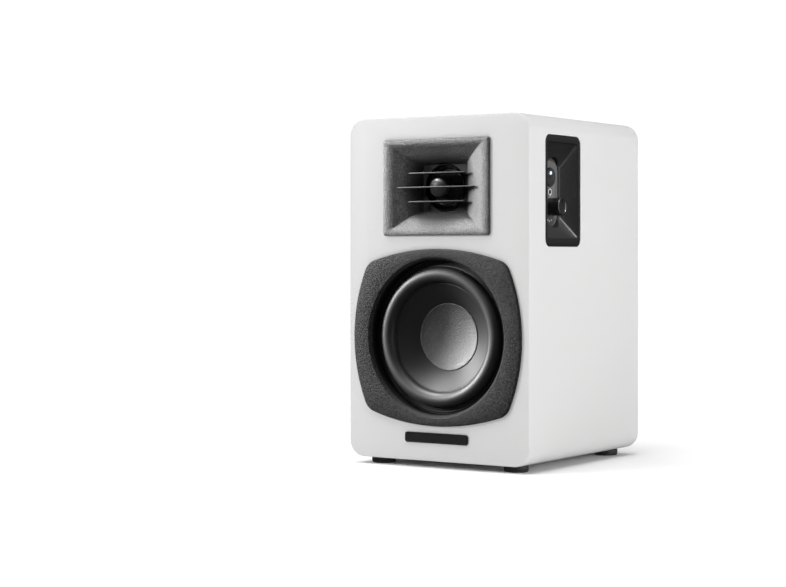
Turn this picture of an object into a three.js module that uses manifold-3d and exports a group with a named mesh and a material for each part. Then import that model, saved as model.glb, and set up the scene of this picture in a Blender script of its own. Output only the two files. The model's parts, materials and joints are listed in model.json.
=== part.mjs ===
// A compact powered bookshelf speaker: a painted wooden cabinet with a cone woofer, a horn-loaded
// dome tweeter, a recessed control panel on its right side and an amplifier panel on its back.
//
// All sizes are in millimetres. While the parts are made, x = 0 is the middle of the cabinet
// (+x is its right side), y = 0 is the front face of the baffle (+y goes into the cabinet) and
// z = 0 is the underside of the cabinet. The finished group is then moved so that the origin is
// below the middle of the whole object, on the surface that the rubber feet stand on.

import * as THREE from "three";
import { mergeVertices } from "three/addons/utils/BufferGeometryUtils.js";
import Module from "manifold-3d";

const wasm = await Module();
wasm.setup();

// ---------------------------------------------------------------- driving dimensions

const GAP = 0.3; // between pieces that touch on the real speaker

const CABINET = { halfWidth: 61.5, depth: 136, height: 200, corner: 10, edge: 0.8, wall: 9, baffle: 15 };
const INNER = { halfWidth: CABINET.halfWidth - CABINET.wall, bottom: CABINET.wall };
INNER.top = CABINET.height - CABINET.wall;
INNER.back = CABINET.depth - CABINET.wall;

const FOOT = { radius: 7.2, height: 4, x: 45.6, inset: 13 };
const NAMEPLATE = { halfWidth: 21.5, halfHeight: 3, z: 13.5, thickness: 0.75 };

const WOOFER_Z = 71.8;
const BEZEL = { halfWidth: 57, halfHeight: 51.3, sideArc: 100, topArc: 140, corner: 10, proud: 2.2 };
BEZEL.mouth = 45;
BEZEL.wall = 1.4;
BEZEL.back = 6;
const FLANGE = { half: 46.4, corner: 19.6, front: 6.3, back: 7.6, hole: 41, screw: 36.5 };
const REBATE = { half: 46.8, corner: 20, depth: 8.6 };
const BASKET_HOLE = 42.5;
const ROLL = { middle: 36.5, radius: 4.6, base: 5.3, thickness: 0.7 };
const CONE = { outer: 31.6, neck: 10.5, rimY: 5.37, slope: 0.692, thickness: 0.9 };
const DUST_CAP = { radius: 19.4, edgeY: 13.1, dish: 4.6, thickness: 0.5 };
const FORMER = { inner: 9.7, outer: 10.15, winding: 10.7, front: 19, back: 35 };
const SPIDER = { y: 21.5, ripple: 0.35, thickness: 0.5, outer: 30.5 };
const SHELF_Y = 22.4;
const BASKET_BACK = 27.2;

const HORN = { z: 158.9, halfWidth: 36.25, halfHeight: 28.1, corner: 1.5, proud: 2 };
HORN.throat = 14;
HORN.throatFront = 9;
HORN.back = 13;
const VANE = { spacing: 8.3, thickness: 0.9, throatY: 8.6, back: 9.6 };
const TWEETER_SCREW = { x: 16.3, z: 15.3 };
const DOME = { radius: 10, apexY: 10.1, baseY: 13.3, thickness: 0.45 };

const PANEL = { y: 39.5, z: 156.5, halfY: 20.8, halfZ: 32, corner: 4.5, face: CABINET.halfWidth - 0.1 };
const FLOOR_X = CABINET.halfWidth - 8.7;
const FASCIA = { y: 39.5, halfWidth: 9.5, bottom: 135.3, top: 176.6, thickness: 1.4 };
const KNOB = { z: 147.6, radius: 5.25, tip: CABINET.halfWidth - 0.2 };
const SHAFT = { radius: 3, back: 47.1 };
const BUTTON = { z: 164.8, radius: 5.3, proud: 0.9 };
const STATUS_Z = 167.2;
const INDICATOR_Z = 156.2;
const BOARD_X = { back: 46.9, front: 48.5 };

const PORT = { z: 150, bore: 15, outer: 16.6, flange: 22, front: 76 };
const WINDOW = { halfWidth: 38, bottom: 26, top: 94 };
const AMP = { halfWidth: 46, bottom: 18, top: 102, thickness: 1.5, screwInset: 4 };
AMP.inside = CABINET.depth + GAP;
AMP.outside = AMP.inside + AMP.thickness;
const RCA = { z: 80, left: -31, right: -13, radius: 4.15, length: 9 };
const INLET = { x: -24, z: 42, radius: 6.2, bore: 3.1, pin: 1 };
const TERMINAL = { x: 20, halfWidth: 20, bottom: 34, top: 56, thickness: 5, pitch: 20 };
const LEVER = { y: 141.2, z: 50.5, hub: 1.6, halfWidth: 6, tip: 149, thickness: 1.8 };

// ---------------------------------------------------------------- solids

// Turns closed three.js geometry into a solid whose faces point outwards.
function solid(geometry) {
  const bare = new THREE.BufferGeometry();
  bare.setAttribute("position", geometry.getAttribute("position"));
  if (geometry.index) bare.setIndex(geometry.index);
  const merged = mergeVertices(bare, 1e-4);
  const source = merged.index.array;
  const faces = [];
  for (let i = 0; i < source.length; i += 3) {
    const [a, b, c] = [source[i], source[i + 1], source[i + 2]];
    if (a !== b && b !== c && c !== a) faces.push(a, b, c);
  }
  const vertProperties = new Float32Array(merged.getAttribute("position").array);
  const make = (list) =>
    new wasm.Manifold(new wasm.Mesh({ numProp: 3, vertProperties, triVerts: new Uint32Array(list) }));
  const made = make(faces);
  return made.volume() < 0 ? make(faces.reverse()) : made;
}

const join = (first, ...others) => others.reduce((whole, part) => whole.add(part), first);
const cut = (whole, ...tools) => tools.reduce((rest, tool) => rest.subtract(tool), whole);

// The geometry of a finished solid, with flat-shaded faces.
function geometryOf(body) {
  const mesh = body.getMesh();
  const positions = new Float32Array(mesh.numVert * 3);
  for (let i = 0; i < mesh.numVert; i += 1) {
    positions.set(mesh.vertProperties.subarray(i * mesh.numProp, i * mesh.numProp + 3), i * 3);
  }
  const geometry = new THREE.BufferGeometry();
  geometry.setAttribute("position", new THREE.BufferAttribute(positions, 3));
  geometry.setIndex(new THREE.BufferAttribute(new Uint32Array(mesh.triVerts), 1));
  const flat = geometry.toNonIndexed();
  flat.computeVertexNormals();
  return flat;
}

// A box between two limits on each axis.
function block([x0, x1], [y0, y1], [z0, z1]) {
  const box = new THREE.BoxGeometry(x1 - x0, y1 - y0, z1 - z0);
  return solid(box.translate((x0 + x1) / 2, (y0 + y1) / 2, (z0 + z1) / 2));
}

// A body turned about an axis along +y through (x, z); the profile holds [radius, y] pairs.
function turned(profile, { x = 0, z = 0, sides = 24 } = {}) {
  const points = profile.map(([radius, y]) => new THREE.Vector2(radius, y));
  return solid(new THREE.LatheGeometry(points, sides).translate(x, 0, z));
}

// The same about an axis along +x through (y, z); the profile holds [radius, x] pairs.
function turnedX(profile, { y = 0, z = 0, sides = 16 } = {}) {
  const points = profile.map(([radius, x]) => new THREE.Vector2(radius, x));
  const geometry = new THREE.LatheGeometry(points, sides).rotateZ(-Math.PI / 2);
  return solid(geometry.translate(0, y, z));
}

// Closed [radius, height] profiles of a disc or rod, and of a ring or tube.
const rodProfile = (radius, from, to) => [[0, from], [radius, from], [radius, to], [0, to]];
const tubeProfile = (inner, outer, from, to) => [
  [inner, from],
  [outer, from],
  [outer, to],
  [inner, to],
  [inner, from],
];

// A solid through outlines with equal numbers of points, each at its own place along +y or +x.
function loft(sections, axis = "y") {
  const count = sections[0].outline.length;
  const positions = [];
  const place = axis === "y" ? (u, v, at) => [u, at, v] : (u, v, at) => [at, u, v];
  for (const { at, outline } of sections) {
    for (const [u, v] of outline) positions.push(...place(u, v, at));
  }
  const index = [];
  for (let s = 0; s + 1 < sections.length; s += 1) {
    for (let i = 0; i < count; i += 1) {
      const [a, b] = [s * count + i, s * count + ((i + 1) % count)];
      index.push(a, b, b + count, a, b + count, a + count);
    }
  }
  const flat = (outline) => outline.map(([u, v]) => new THREE.Vector2(u, v));
  const last = (sections.length - 1) * count;
  for (const [a, b, c] of THREE.ShapeUtils.triangulateShape(flat(sections[0].outline), [])) {
    index.push(a, c, b);
  }
  for (const [a, b, c] of THREE.ShapeUtils.triangulateShape(flat(sections.at(-1).outline), [])) {
    index.push(last + a, last + b, last + c);
  }
  const geometry = new THREE.BufferGeometry();
  geometry.setAttribute("position", new THREE.Float32BufferAttribute(positions, 3));
  geometry.setIndex(index);
  return solid(geometry);
}

const prism = (outline, from, to, axis = "y") =>
  loft([{ at: from, outline }, { at: to, outline }], axis);

// ---------------------------------------------------------------- outlines

function arcPoints(u, v, radius, start, end, steps) {
  const points = [];
  for (let i = 0; i <= steps; i += 1) {
    const angle = start + ((end - start) * i) / steps;
    points.push([u + radius * Math.cos(angle), v + radius * Math.sin(angle)]);
  }
  return points;
}

// A rounded rectangle about (u, v), anticlockwise from its right side.
function roundedOutline(u, v, halfU, halfV, radius, steps = 6) {
  const points = [];
  const corners = [[1, 1], [-1, 1], [-1, -1], [1, -1]];
  corners.forEach(([su, sv], i) => {
    const [cu, cv] = [u + su * (halfU - radius), v + sv * (halfV - radius)];
    points.push(...arcPoints(cu, cv, radius, (i * Math.PI) / 2, ((i + 1) * Math.PI) / 2, steps));
  });
  return points;
}

// Four shallow arcs joined by tight corner arcs that are tangent to them: a bowed square.
function bowedOutline(v, halfU, halfV, sideArc, topArc, corner) {
  const sideCentre = halfU - sideArc;
  const topCentre = halfV - topArc;
  const [reachSide, reachTop] = [sideArc - corner, topArc - corner];
  const span = Math.hypot(sideCentre, topCentre);
  const along = (reachSide ** 2 - reachTop ** 2 + span ** 2) / (2 * span);
  const across = Math.sqrt(reachSide ** 2 - along ** 2);
  const [du, dv] = [-sideCentre / span, topCentre / span];
  const centre = [sideCentre + along * du - across * dv, along * dv + across * du];
  const sideAngle = Math.atan2(centre[1], centre[0] - sideCentre);
  const topAngle = Math.atan2(centre[1] - topCentre, centre[0]);
  const quarter = [
    ...arcPoints(sideCentre, 0, sideArc, 0, sideAngle, 6),
    ...arcPoints(centre[0], centre[1], corner, sideAngle, topAngle, 6).slice(1),
    ...arcPoints(0, topCentre, topArc, topAngle, Math.PI / 2, 6).slice(1),
  ];
  const mirrored = quarter.slice(0, -1).reverse().map(([a, b]) => [-a, b]);
  const upper = [...quarter, ...mirrored];
  const lower = upper.slice(1, -1).reverse().map(([a, b]) => [a, -b]);
  return [...upper, ...lower].map(([a, b]) => [a, b + v]);
}

// ---------------------------------------------------------------- parts

const speaker = new THREE.Group();
const body = new THREE.Group();
speaker.add(body);

function add(name, shape, color, roughness, metalness = 0) {
  const material = new THREE.MeshStandardMaterial({ color, roughness, metalness });
  const mesh = new THREE.Mesh(geometryOf(shape), material);
  mesh.name = name;
  body.add(mesh);
}

const WHITE = 0xe6e6e6;
const CHARCOAL = 0x3a3a3c;
const BLACK = 0x141414;
const RUBBER = 0x1a1a1a;
const STEEL = 0xa9abad;
const FERRITE = 0x2a2a2c;
const COPPER = 0xb56b3a;
const BOARD_GREEN = 0x1f5a3a;

const corners = [[-1, -1], [1, -1], [1, 1], [-1, 1]];

function addCabinet() {
  const { halfWidth, depth, height, corner, edge, baffle } = CABINET;
  const outline = (inset) =>
    roundedOutline(0, height / 2, halfWidth - inset, height / 2 - inset, corner - inset, 6);
  const shell = loft([
    { at: 0, outline: outline(edge) },
    { at: edge, outline: outline(0) },
    { at: depth - edge, outline: outline(0) },
    { at: depth, outline: outline(edge) },
  ]);
  const inside = block([-INNER.halfWidth, INNER.halfWidth], [baffle, depth + 5], [INNER.bottom, INNER.top]);
  const rebate = prism(
    roundedOutline(0, WOOFER_Z, REBATE.half, REBATE.half, REBATE.corner, 5),
    -5,
    REBATE.depth,
  );
  const basketHole = onWoofer(rodProfile(BASKET_HOLE, -5, baffle + 5));
  const hornHole = block([-31, 31], [-5, baffle + 5], [HORN.z - 24.9, HORN.z + 24.9]);
  const panelHole = prism(
    roundedOutline(PANEL.y, PANEL.z, PANEL.halfY + 0.2, PANEL.halfZ + 0.2, PANEL.corner + 0.2, 6),
    INNER.halfWidth - 5,
    halfWidth + 5,
    "x",
  );
  const pilots = corners.map(([sx, sz]) =>
    turned(rodProfile(1.8, REBATE.depth - 1, baffle + 1), {
      x: sx * FLANGE.screw,
      z: WOOFER_Z + sz * FLANGE.screw,
      sides: 8,
    }),
  );
  const carcass = cut(shell, inside, rebate, basketHole, hornHole, panelHole, ...pilots);
  add("cabinet_carcass", carcass, WHITE, 0.5);

  const board = block(
    [-INNER.halfWidth + GAP, INNER.halfWidth - GAP],
    [INNER.back, depth - 0.05],
    [INNER.bottom + GAP, INNER.top - GAP],
  );
  const portHole = turned(rodProfile(PORT.outer + GAP, INNER.back - 5, depth + 5), { z: PORT.z });
  const window = block(
    [-WINDOW.halfWidth, WINDOW.halfWidth],
    [INNER.back - 5, depth + 5],
    [WINDOW.bottom, WINDOW.top],
  );
  const panelPilots = ampScrewPlaces().map(({ x, z }) =>
    turned(rodProfile(1.8, INNER.back - 1, depth + 1), { x, z, sides: 8 }),
  );
  add("rear_board", cut(board, portHole, window, ...panelPilots), WHITE, 0.5);

  const wadding = block([-INNER.halfWidth + GAP, -32], [30, 118], [112, INNER.top - 1]);
  add("wadding_pad", wadding, 0xcfcfc8, 1);

  const plate = roundedOutline(0, NAMEPLATE.z, NAMEPLATE.halfWidth, NAMEPLATE.halfHeight, 2.9, 6);
  add("nameplate", prism(plate, -0.15 - NAMEPLATE.thickness, -0.15), BLACK, 0.35);
}

function addPort() {
  const { bore, outer, flange, front } = PORT;
  const mouth = CABINET.depth + GAP;
  const profile = [
    [bore + 1.2, front],
    [outer + 1, front],
    [outer, front + 3],
    [outer, mouth],
    [flange, mouth],
    [flange, mouth + 0.8],
    [flange - 0.8, mouth + 1.6],
    [flange - 2.5, mouth + 1.6],
    [bore + 1.6, mouth - 1],
    [bore, mouth - 6],
    [bore, front + 3],
    [bore + 1.2, front],
  ];
  add("port_tube", turned(profile, { z: PORT.z }), BLACK, 0.5);
}

function addFeet() {
  const { radius, height, x, inset } = FOOT;
  const profile = [
    [0, -height],
    [radius - 0.5, -height],
    [radius, -height + 0.5],
    [radius, -0.1],
    [0, -0.1],
  ];
  const places = { front_left: [-x, inset], front_right: [x, inset] };
  places.rear_left = [-x, CABINET.depth - inset];
  places.rear_right = [x, CABINET.depth - inset];
  for (const [where, [px, py]] of Object.entries(places)) {
    // The profile is turned about +y, then stood up so that its axis is vertical.
    const points = profile.map(([r, y]) => new THREE.Vector2(r, y));
    const foot = new THREE.LatheGeometry(points, 18).rotateX(Math.PI / 2).translate(px, py, 0);
    add(`foot_${where}`, solid(foot), RUBBER, 0.85);
  }
}

// ---------------------------------------------------------------- woofer

const onWoofer = (profile, sides = 32) => turned(profile, { z: WOOFER_Z, sides });
const coneY = (radius) => CONE.rimY + CONE.slope * (CONE.outer - radius);

function addWooferFrame() {
  const outline = (inset) =>
    bowedOutline(
      WOOFER_Z,
      BEZEL.halfWidth - inset,
      BEZEL.halfHeight - inset,
      BEZEL.sideArc - inset,
      BEZEL.topArc - inset,
      BEZEL.corner - inset,
    );
  const plate = loft([
    { at: -BEZEL.proud, outline: outline(0.9) },
    { at: -BEZEL.proud + 0.3, outline: outline(0.25) },
    { at: -BEZEL.proud + 0.9, outline: outline(0) },
    { at: -0.15, outline: outline(0) },
  ]);
  const collar = onWoofer(tubeProfile(BEZEL.mouth - 1, BEZEL.mouth + BEZEL.wall, -1, BEZEL.back));
  const mouth = onWoofer([
    [0, -BEZEL.proud - 1],
    [BEZEL.mouth + 2.5, -BEZEL.proud - 1],
    [BEZEL.mouth, -BEZEL.proud + 1.5],
    [BEZEL.mouth, BEZEL.back + 1],
    [0, BEZEL.back + 1],
  ]);
  add("woofer_bezel", cut(join(plate, collar), mouth), CHARCOAL, 0.6);

  const { half, corner, front, back, hole, screw } = FLANGE;
  const screwHoles = (radius) =>
    corners.map(([sx, sz]) =>
      turned(rodProfile(radius, 0, 12), { x: sx * screw, z: WOOFER_Z + sz * screw, sides: 10 }),
    );
  const gasket = prism(roundedOutline(0, WOOFER_Z, half, half, corner, 5), back + 0.3, REBATE.depth - 0.2);
  const gasketHole = onWoofer(rodProfile(BASKET_HOLE + 0.3, 0, 12));
  add("woofer_gasket", cut(gasket, gasketHole, ...screwHoles(2.4)), RUBBER, 0.95);

  const flange = prism(roundedOutline(0, WOOFER_Z, half, half, corner, 5), front, back);
  const bowl = onWoofer([
    [hole, front],
    [hole + 1.2, front],
    [hole + 1.2, 9],
    [31.8, SHELF_Y + 1.2],
    [27.2, SHELF_Y + 1.2],
    [27.2, BASKET_BACK + 1.2],
    [13, BASKET_BACK + 1.2],
    [13, BASKET_BACK],
    [26, BASKET_BACK],
    [26, SHELF_Y],
    [31.2, SHELF_Y],
    [hole, 8.6],
    [hole, front],
  ]);
  const opening = onWoofer(rodProfile(hole, 0, 8));
  const windows = [];
  for (let i = 0; i < 6; i += 1) {
    const window = new THREE.BoxGeometry(22, 10, 26).translate(0, 15.2, 38);
    windows.push(solid(window.rotateY((i * Math.PI) / 3).translate(0, 0, WOOFER_Z)));
  }
  const frame = join(cut(flange, opening), bowl);
  add("woofer_basket", cut(frame, ...windows, ...screwHoles(2)), 0x4a4b4d, 0.5, 0.8);

  corners.forEach(([sx, sz], i) => {
    const profile = [
      [0, 4.3],
      [3.2, 4.3],
      [3.4, 4.9],
      [3.4, 6.1],
      [1.5, 6.1],
      [1.5, 13.6],
      [0, 14.6],
    ];
    const place = { x: sx * screw, z: WOOFER_Z + sz * screw, sides: 10 };
    add(`woofer_screw_${i + 1}`, turned(profile, place), 0x303030, 0.4, 0.8);
  });
}

function addWooferCone() {
  const { middle, radius, base, thickness } = ROLL;
  const inner = radius - thickness;
  const roll = [
    [44.6, base + 0.7],
    [44.6, base],
    ...arcPoints(middle, base, radius, 0, -Math.PI, 6),
    [middle - radius, base + 0.7],
    ...arcPoints(middle, base + 0.7, inner, -Math.PI, 0, 4),
    [44.6, base + 0.7],
  ];
  add("woofer_surround", onWoofer(roll), RUBBER, 0.6);

  const cone = [
    [CONE.outer, CONE.rimY],
    [CONE.outer, CONE.rimY + CONE.thickness],
    [CONE.neck, coneY(CONE.neck) + CONE.thickness],
    [CONE.neck, coneY(CONE.neck)],
    [CONE.outer, CONE.rimY],
  ];
  add("woofer_cone", onWoofer(cone), 0x3c3c3e, 0.45);

  const capY = (r) => DUST_CAP.edgeY + DUST_CAP.dish * (1 - (r / DUST_CAP.radius) ** 2);
  const steps = [0, 0.35, 0.7, 1].map((t) => t * DUST_CAP.radius);
  const front = steps.map((r) => [r, capY(r)]);
  const back = steps.map((r) => [r, capY(r) + DUST_CAP.thickness]).reverse();
  add("woofer_dust_cap", onWoofer([...front, ...back], 24), 0x555557, 0.7);

  const coil = [
    [FORMER.inner, FORMER.front],
    [FORMER.outer, FORMER.front],
    [FORMER.outer, 27.5],
    [FORMER.winding, 27.5],
    [FORMER.winding, 34],
    [FORMER.outer, 34],
    [FORMER.outer, FORMER.back],
    [FORMER.inner, FORMER.back],
    [FORMER.inner, FORMER.front],
  ];
  add("woofer_voice_coil", onWoofer(coil, 20), COPPER, 0.4, 0.7);

  const ripples = 3;
  const start = FORMER.outer + 0.45;
  const wave = [];
  for (let i = 0; i <= ripples * 2; i += 1) {
    const r = start + ((SPIDER.outer - start) * i) / (ripples * 2);
    const height = i === 0 || i === ripples * 2 ? 0 : SPIDER.ripple * (i % 2 ? 1 : -1);
    wave.push([r, SPIDER.y + height]);
  }
  const underside = wave.map(([r, y]) => [r, y + SPIDER.thickness]).reverse();
  add("woofer_spider", onWoofer([...wave, ...underside, wave[0]], 20), 0xc8a24a, 0.9);
}

function addWooferMotor() {
  const plateFront = BASKET_BACK + 1.5;
  const plateBack = plateFront + 4;
  const magnetFront = plateBack + 0.2;
  const magnetBack = magnetFront + 10;
  const yokeFront = magnetBack + 0.2;
  add("woofer_top_plate", onWoofer(tubeProfile(11.2, 27, plateFront, plateBack), 24), STEEL, 0.4, 0.9);
  add("woofer_magnet", onWoofer(tubeProfile(14, 30, magnetFront, magnetBack), 24), FERRITE, 0.7);
  const yoke = [
    [0, yokeFront + 4],
    [27, yokeFront + 4],
    [28, yokeFront + 3],
    [28, yokeFront],
    [9.2, yokeFront],
    [9.2, plateFront],
    [0, plateFront],
  ];
  add("woofer_yoke", onWoofer(yoke, 24), STEEL, 0.4, 0.9);
}

// ---------------------------------------------------------------- tweeter

const onTweeter = (profile, sides = 20) => turned(profile, { z: HORN.z, sides });
const hornRectangle = (halfU, halfV, radius = 1) => roundedOutline(0, HORN.z, halfU, halfV, radius, 3);

function addHorn() {
  const { halfWidth, halfHeight, corner, proud, throat, throatFront, back } = HORN;
  const plate = loft([
    { at: -proud, outline: hornRectangle(halfWidth - 0.5, halfHeight - 0.5, corner - 0.5) },
    { at: -proud + 0.5, outline: hornRectangle(halfWidth, halfHeight, corner) },
    { at: -0.15, outline: hornRectangle(halfWidth, halfHeight, corner) },
  ]);
  const funnel = loft([
    { at: -0.5, outline: hornRectangle(30.4, 24.5) },
    { at: 1, outline: hornRectangle(29.2, 23.6) },
    { at: throatFront, outline: hornRectangle(19, 18) },
    { at: back, outline: hornRectangle(19, 18) },
  ]);
  const mouth = loft([
    { at: -proud - 0.4, outline: hornRectangle(30.4, 24.6) },
    { at: -proud + 0.6, outline: hornRectangle(28.6, 23) },
    { at: -0.2, outline: hornRectangle(27.2, 21.8) },
    { at: throatFront, outline: hornRectangle(13.4, 12.4) },
  ]);
  const throatBore = onTweeter(rodProfile(throat, 4, back + 1));
  const screwHoles = [-1, 1].map((side) =>
    turned(rodProfile(1.3, throatFront + 0.5, back + 1), {
      x: side * TWEETER_SCREW.x,
      z: HORN.z + side * TWEETER_SCREW.z,
      sides: 8,
    }),
  );
  add("tweeter_horn", cut(join(plate, funnel), mouth, throatBore, ...screwHoles), CHARCOAL, 0.5);
}

function addPhasePlug() {
  // A vane is straight at its front edge, then its sides run back parallel to the horn's walls.
  const vane = (level, halfFront, front, halfBack) => {
    const { thickness, throatY, back } = VANE;
    const outline = [
      [-halfFront, front],
      [halfFront, front],
      [halfBack, throatY],
      [halfBack, back],
      [-halfBack, back],
      [-halfBack, throatY],
    ];
    const shape = new THREE.Shape(outline.map(([x, y]) => new THREE.Vector2(x, y)));
    const plate = new THREE.ExtrudeGeometry(shape, { depth: thickness, bevelEnabled: false });
    return solid(plate.translate(0, 0, HORN.z + level - thickness / 2));
  };
  const ring = onTweeter(tubeProfile(12.9, HORN.throat - GAP, VANE.back - 0.8, VANE.back + 2.4));
  const nose = onTweeter(
    [
      [0, -1.4],
      [2.6, -1],
      [4.6, 0.2],
      [5.7, 2],
      [6, 4],
      [4, 8],
      [0, 8],
    ],
    20,
  );
  const insert = join(
    ring,
    nose,
    vane(0, 26.5, -1.9, 13.2),
    vane(VANE.spacing, 19.6, -0.5, 10.3),
    vane(-VANE.spacing, 19.6, -0.5, 10.3),
  );
  add("phase_plug", insert, BLACK, 0.35);
}

function addTweeterMotor() {
  const { radius, apexY, baseY, thickness } = DOME;
  const domeY = (r) => apexY + (baseY - apexY) * (r / radius) ** 2;
  const steps = [0, 0.4, 0.75, 1].map((t) => t * radius);
  const front = steps.map((r) => [r, domeY(r)]);
  const back = steps.map((r) => [r, domeY(r) + thickness]).reverse();
  add("tweeter_dome", onTweeter([...front, ...back]), 0x202022, 0.35);

  const roll = [
    [radius + 0.3, baseY],
    [11.6, baseY - 0.9],
    [12.8, baseY + 0.1],
    [15.6, baseY + 0.1],
    [15.6, baseY + 0.6],
    [12.6, baseY + 0.6],
    [11.6, baseY - 0.4],
    [radius + 0.3, baseY + 0.5],
    [radius + 0.3, baseY],
  ];
  add("tweeter_surround", onTweeter(roll), RUBBER, 0.6);

  const coilFront = baseY + thickness + 0.3;
  add("tweeter_voice_coil", onTweeter(tubeProfile(9.4, 9.9, coilFront, coilFront + 5)), COPPER, 0.4, 0.7);

  const plateFront = baseY + 0.9;
  const plateBack = plateFront + 2.5;
  const square = prism(hornRectangle(19, 18), plateFront, plateBack);
  const holes = [onTweeter(rodProfile(10.5, plateFront - 1, plateBack + 1))];
  [-1, 1].forEach((side, i) => {
    const place = { x: side * TWEETER_SCREW.x, z: HORN.z + side * TWEETER_SCREW.z, sides: 10 };
    holes.push(turned(rodProfile(1.4, plateFront - 1, plateBack + 1), place));
    const profile = [
      [0, 10.2],
      [1, 10.8],
      [1, plateBack + 0.2],
      [2.1, plateBack + 0.2],
      [2.1, plateBack + 1.6],
      [0, plateBack + 1.6],
    ];
    add(`tweeter_screw_${i + 1}`, turned(profile, place), STEEL, 0.4, 0.9);
  });
  add("tweeter_top_plate", cut(square, ...holes), STEEL, 0.4, 0.9);

  const magnetFront = plateBack + 0.2;
  const magnetBack = magnetFront + 7;
  add("tweeter_magnet", onTweeter(tubeProfile(12, 18.5, magnetFront, magnetBack)), FERRITE, 0.7);
  const yokeFront = magnetBack + 0.2;
  const yoke = [
    [0, yokeFront + 3],
    [18, yokeFront + 3],
    [18, yokeFront],
    [8.8, yokeFront],
    [8.8, plateFront],
    [0, plateFront],
  ];
  add("tweeter_yoke", onTweeter(yoke), STEEL, 0.4, 0.9);
}

// ---------------------------------------------------------------- side controls

const fasciaOutline = (inset) => {
  const middle = (FASCIA.top + FASCIA.bottom) / 2;
  const half = (FASCIA.top - FASCIA.bottom) / 2;
  const halfWidth = FASCIA.halfWidth - inset;
  return roundedOutline(FASCIA.y, middle, halfWidth, half - inset, halfWidth - 0.1, 6);
};
const onPanel = (profile, z, sides = 16) => turnedX(profile, { y: FASCIA.y, z, sides });

function addControlPanel() {
  const { y, z, halfY, halfZ, corner, face } = PANEL;
  const back = FLOOR_X - FASCIA.thickness;
  const tray = prism(roundedOutline(y, z, halfY, halfZ, corner, 6), back, face, "x");
  const hollow = loft(
    [
      { at: FLOOR_X, outline: roundedOutline(y, 156.25, 11.5, 15.25, 0.6, 3) },
      { at: face - 0.6, outline: roundedOutline(y, 156.75, 17.7, 27, 1.8, 3) },
      { at: face + 1, outline: roundedOutline(y, 156.75, 18.4, 27.7, 2.5, 3) },
    ],
    "x",
  );
  const pocket = prism(fasciaOutline(0), back - 1, face + 1, "x");
  add("control_bezel", cut(tray, hollow, pocket), CHARCOAL, 0.5);

  const plate = prism(fasciaOutline(GAP), back, FLOOR_X - 0.1, "x");
  const holes = [
    onPanel(rodProfile(BUTTON.radius + GAP, back - 1, face), BUTTON.z),
    onPanel(rodProfile(SHAFT.radius + 1, back - 1, face), KNOB.z),
    onPanel(rodProfile(1.7, back - 1, face), INDICATOR_Z, 16),
  ];
  add("control_fascia", cut(plate, ...holes), 0x48484a, 0.45);
  add("indicator_lens", onPanel(rodProfile(1.4, back + 0.2, FLOOR_X), INDICATOR_Z, 16), 0x101214, 0.1);
}

function addKnob() {
  const { z, radius, tip } = KNOB;
  const foot = FLOOR_X + GAP;
  const outside = [
    [0, foot],
    [radius, foot],
    [radius, tip - 0.6],
    [radius - 0.6, tip],
    [0, tip],
  ];
  const socket = onPanel(rodProfile(SHAFT.radius + GAP, foot - 1, tip - 1.7), z);
  const pointer = block([tip - 0.5, tip + 1], [FASCIA.y - 0.4, FASCIA.y + 0.4], [z + 1.5, z + radius + 1]);
  add("volume_knob", cut(onPanel(outside, z, 24), socket, pointer), BLACK, 0.4);
  add("volume_shaft", onPanel(rodProfile(SHAFT.radius, SHAFT.back, tip - 2), z), STEEL, 0.35, 0.9);

  const can = block([BOARD_X.back - 7.1, BOARD_X.back - 0.4], [FASCIA.y - 6, FASCIA.y + 6], [z - 6.5, z + 6.5]);
  const bush = onPanel(tubeProfile(SHAFT.radius + GAP, SHAFT.radius + 1.1, BOARD_X.back - 0.6, BOARD_X.front + 1.4), z);
  add("potentiometer", join(can, bush), 0x8c8e90, 0.4, 0.7);
}

function addButton() {
  const { z, radius, proud } = BUTTON;
  const rear = FLOOR_X - 1.2;
  const face = FLOOR_X + proud;
  const cap = onPanel(
    [
      [0, rear],
      [radius - 0.7, rear],
      [radius - 0.7, rear - 1.3],
      [radius + 1, rear - 1.3],
      [radius + 1, rear - 0.6],
      [radius, rear - 0.6],
      [radius, face - 0.3],
      [radius - 0.3, face],
      [radius - 0.9, face],
      [radius - 2.6, face - 0.5],
      [0, face - 0.6],
    ],
    z,
    24,
  );
  const windowHole = onPanel(rodProfile(1.15, rear - 1, face + 1), STATUS_Z, 16);
  add("select_button", cut(cap, windowHole), 0x2b2b2d, 0.4);
  add("status_led", onPanel(rodProfile(0.85, rear + 0.1, face - 0.2), STATUS_Z, 16), 0xd6e8ff, 0.2);

  const can = block([BOARD_X.front + 0.2, BOARD_X.front + 1.5], [FASCIA.y - 3, FASCIA.y + 3], [z - 3, z + 3]);
  const plunger = onPanel(rodProfile(1.7, BOARD_X.front + 1.3, BOARD_X.front + 2), z, 16);
  add("tact_switch", join(can, plunger), 0x303030, 0.5);

  const board = block([BOARD_X.back, BOARD_X.front], [FASCIA.y - 11.5, FASCIA.y + 11.5], [134, 178]);
  const shaftHole = onPanel(rodProfile(SHAFT.radius + 1.4, BOARD_X.back - 3, BOARD_X.front + 3), KNOB.z);
  add("control_pcb", cut(board, shaftHole), BOARD_GREEN, 0.5);
}

// ---------------------------------------------------------------- amplifier and rear panel

function ampScrewPlaces() {
  const x = AMP.halfWidth - AMP.screwInset;
  const middle = (AMP.top + AMP.bottom) / 2;
  const half = (AMP.top - AMP.bottom) / 2 - AMP.screwInset;
  return corners.map(([sx, sz]) => ({ x: sx * x, z: middle + sz * half }));
}

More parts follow.
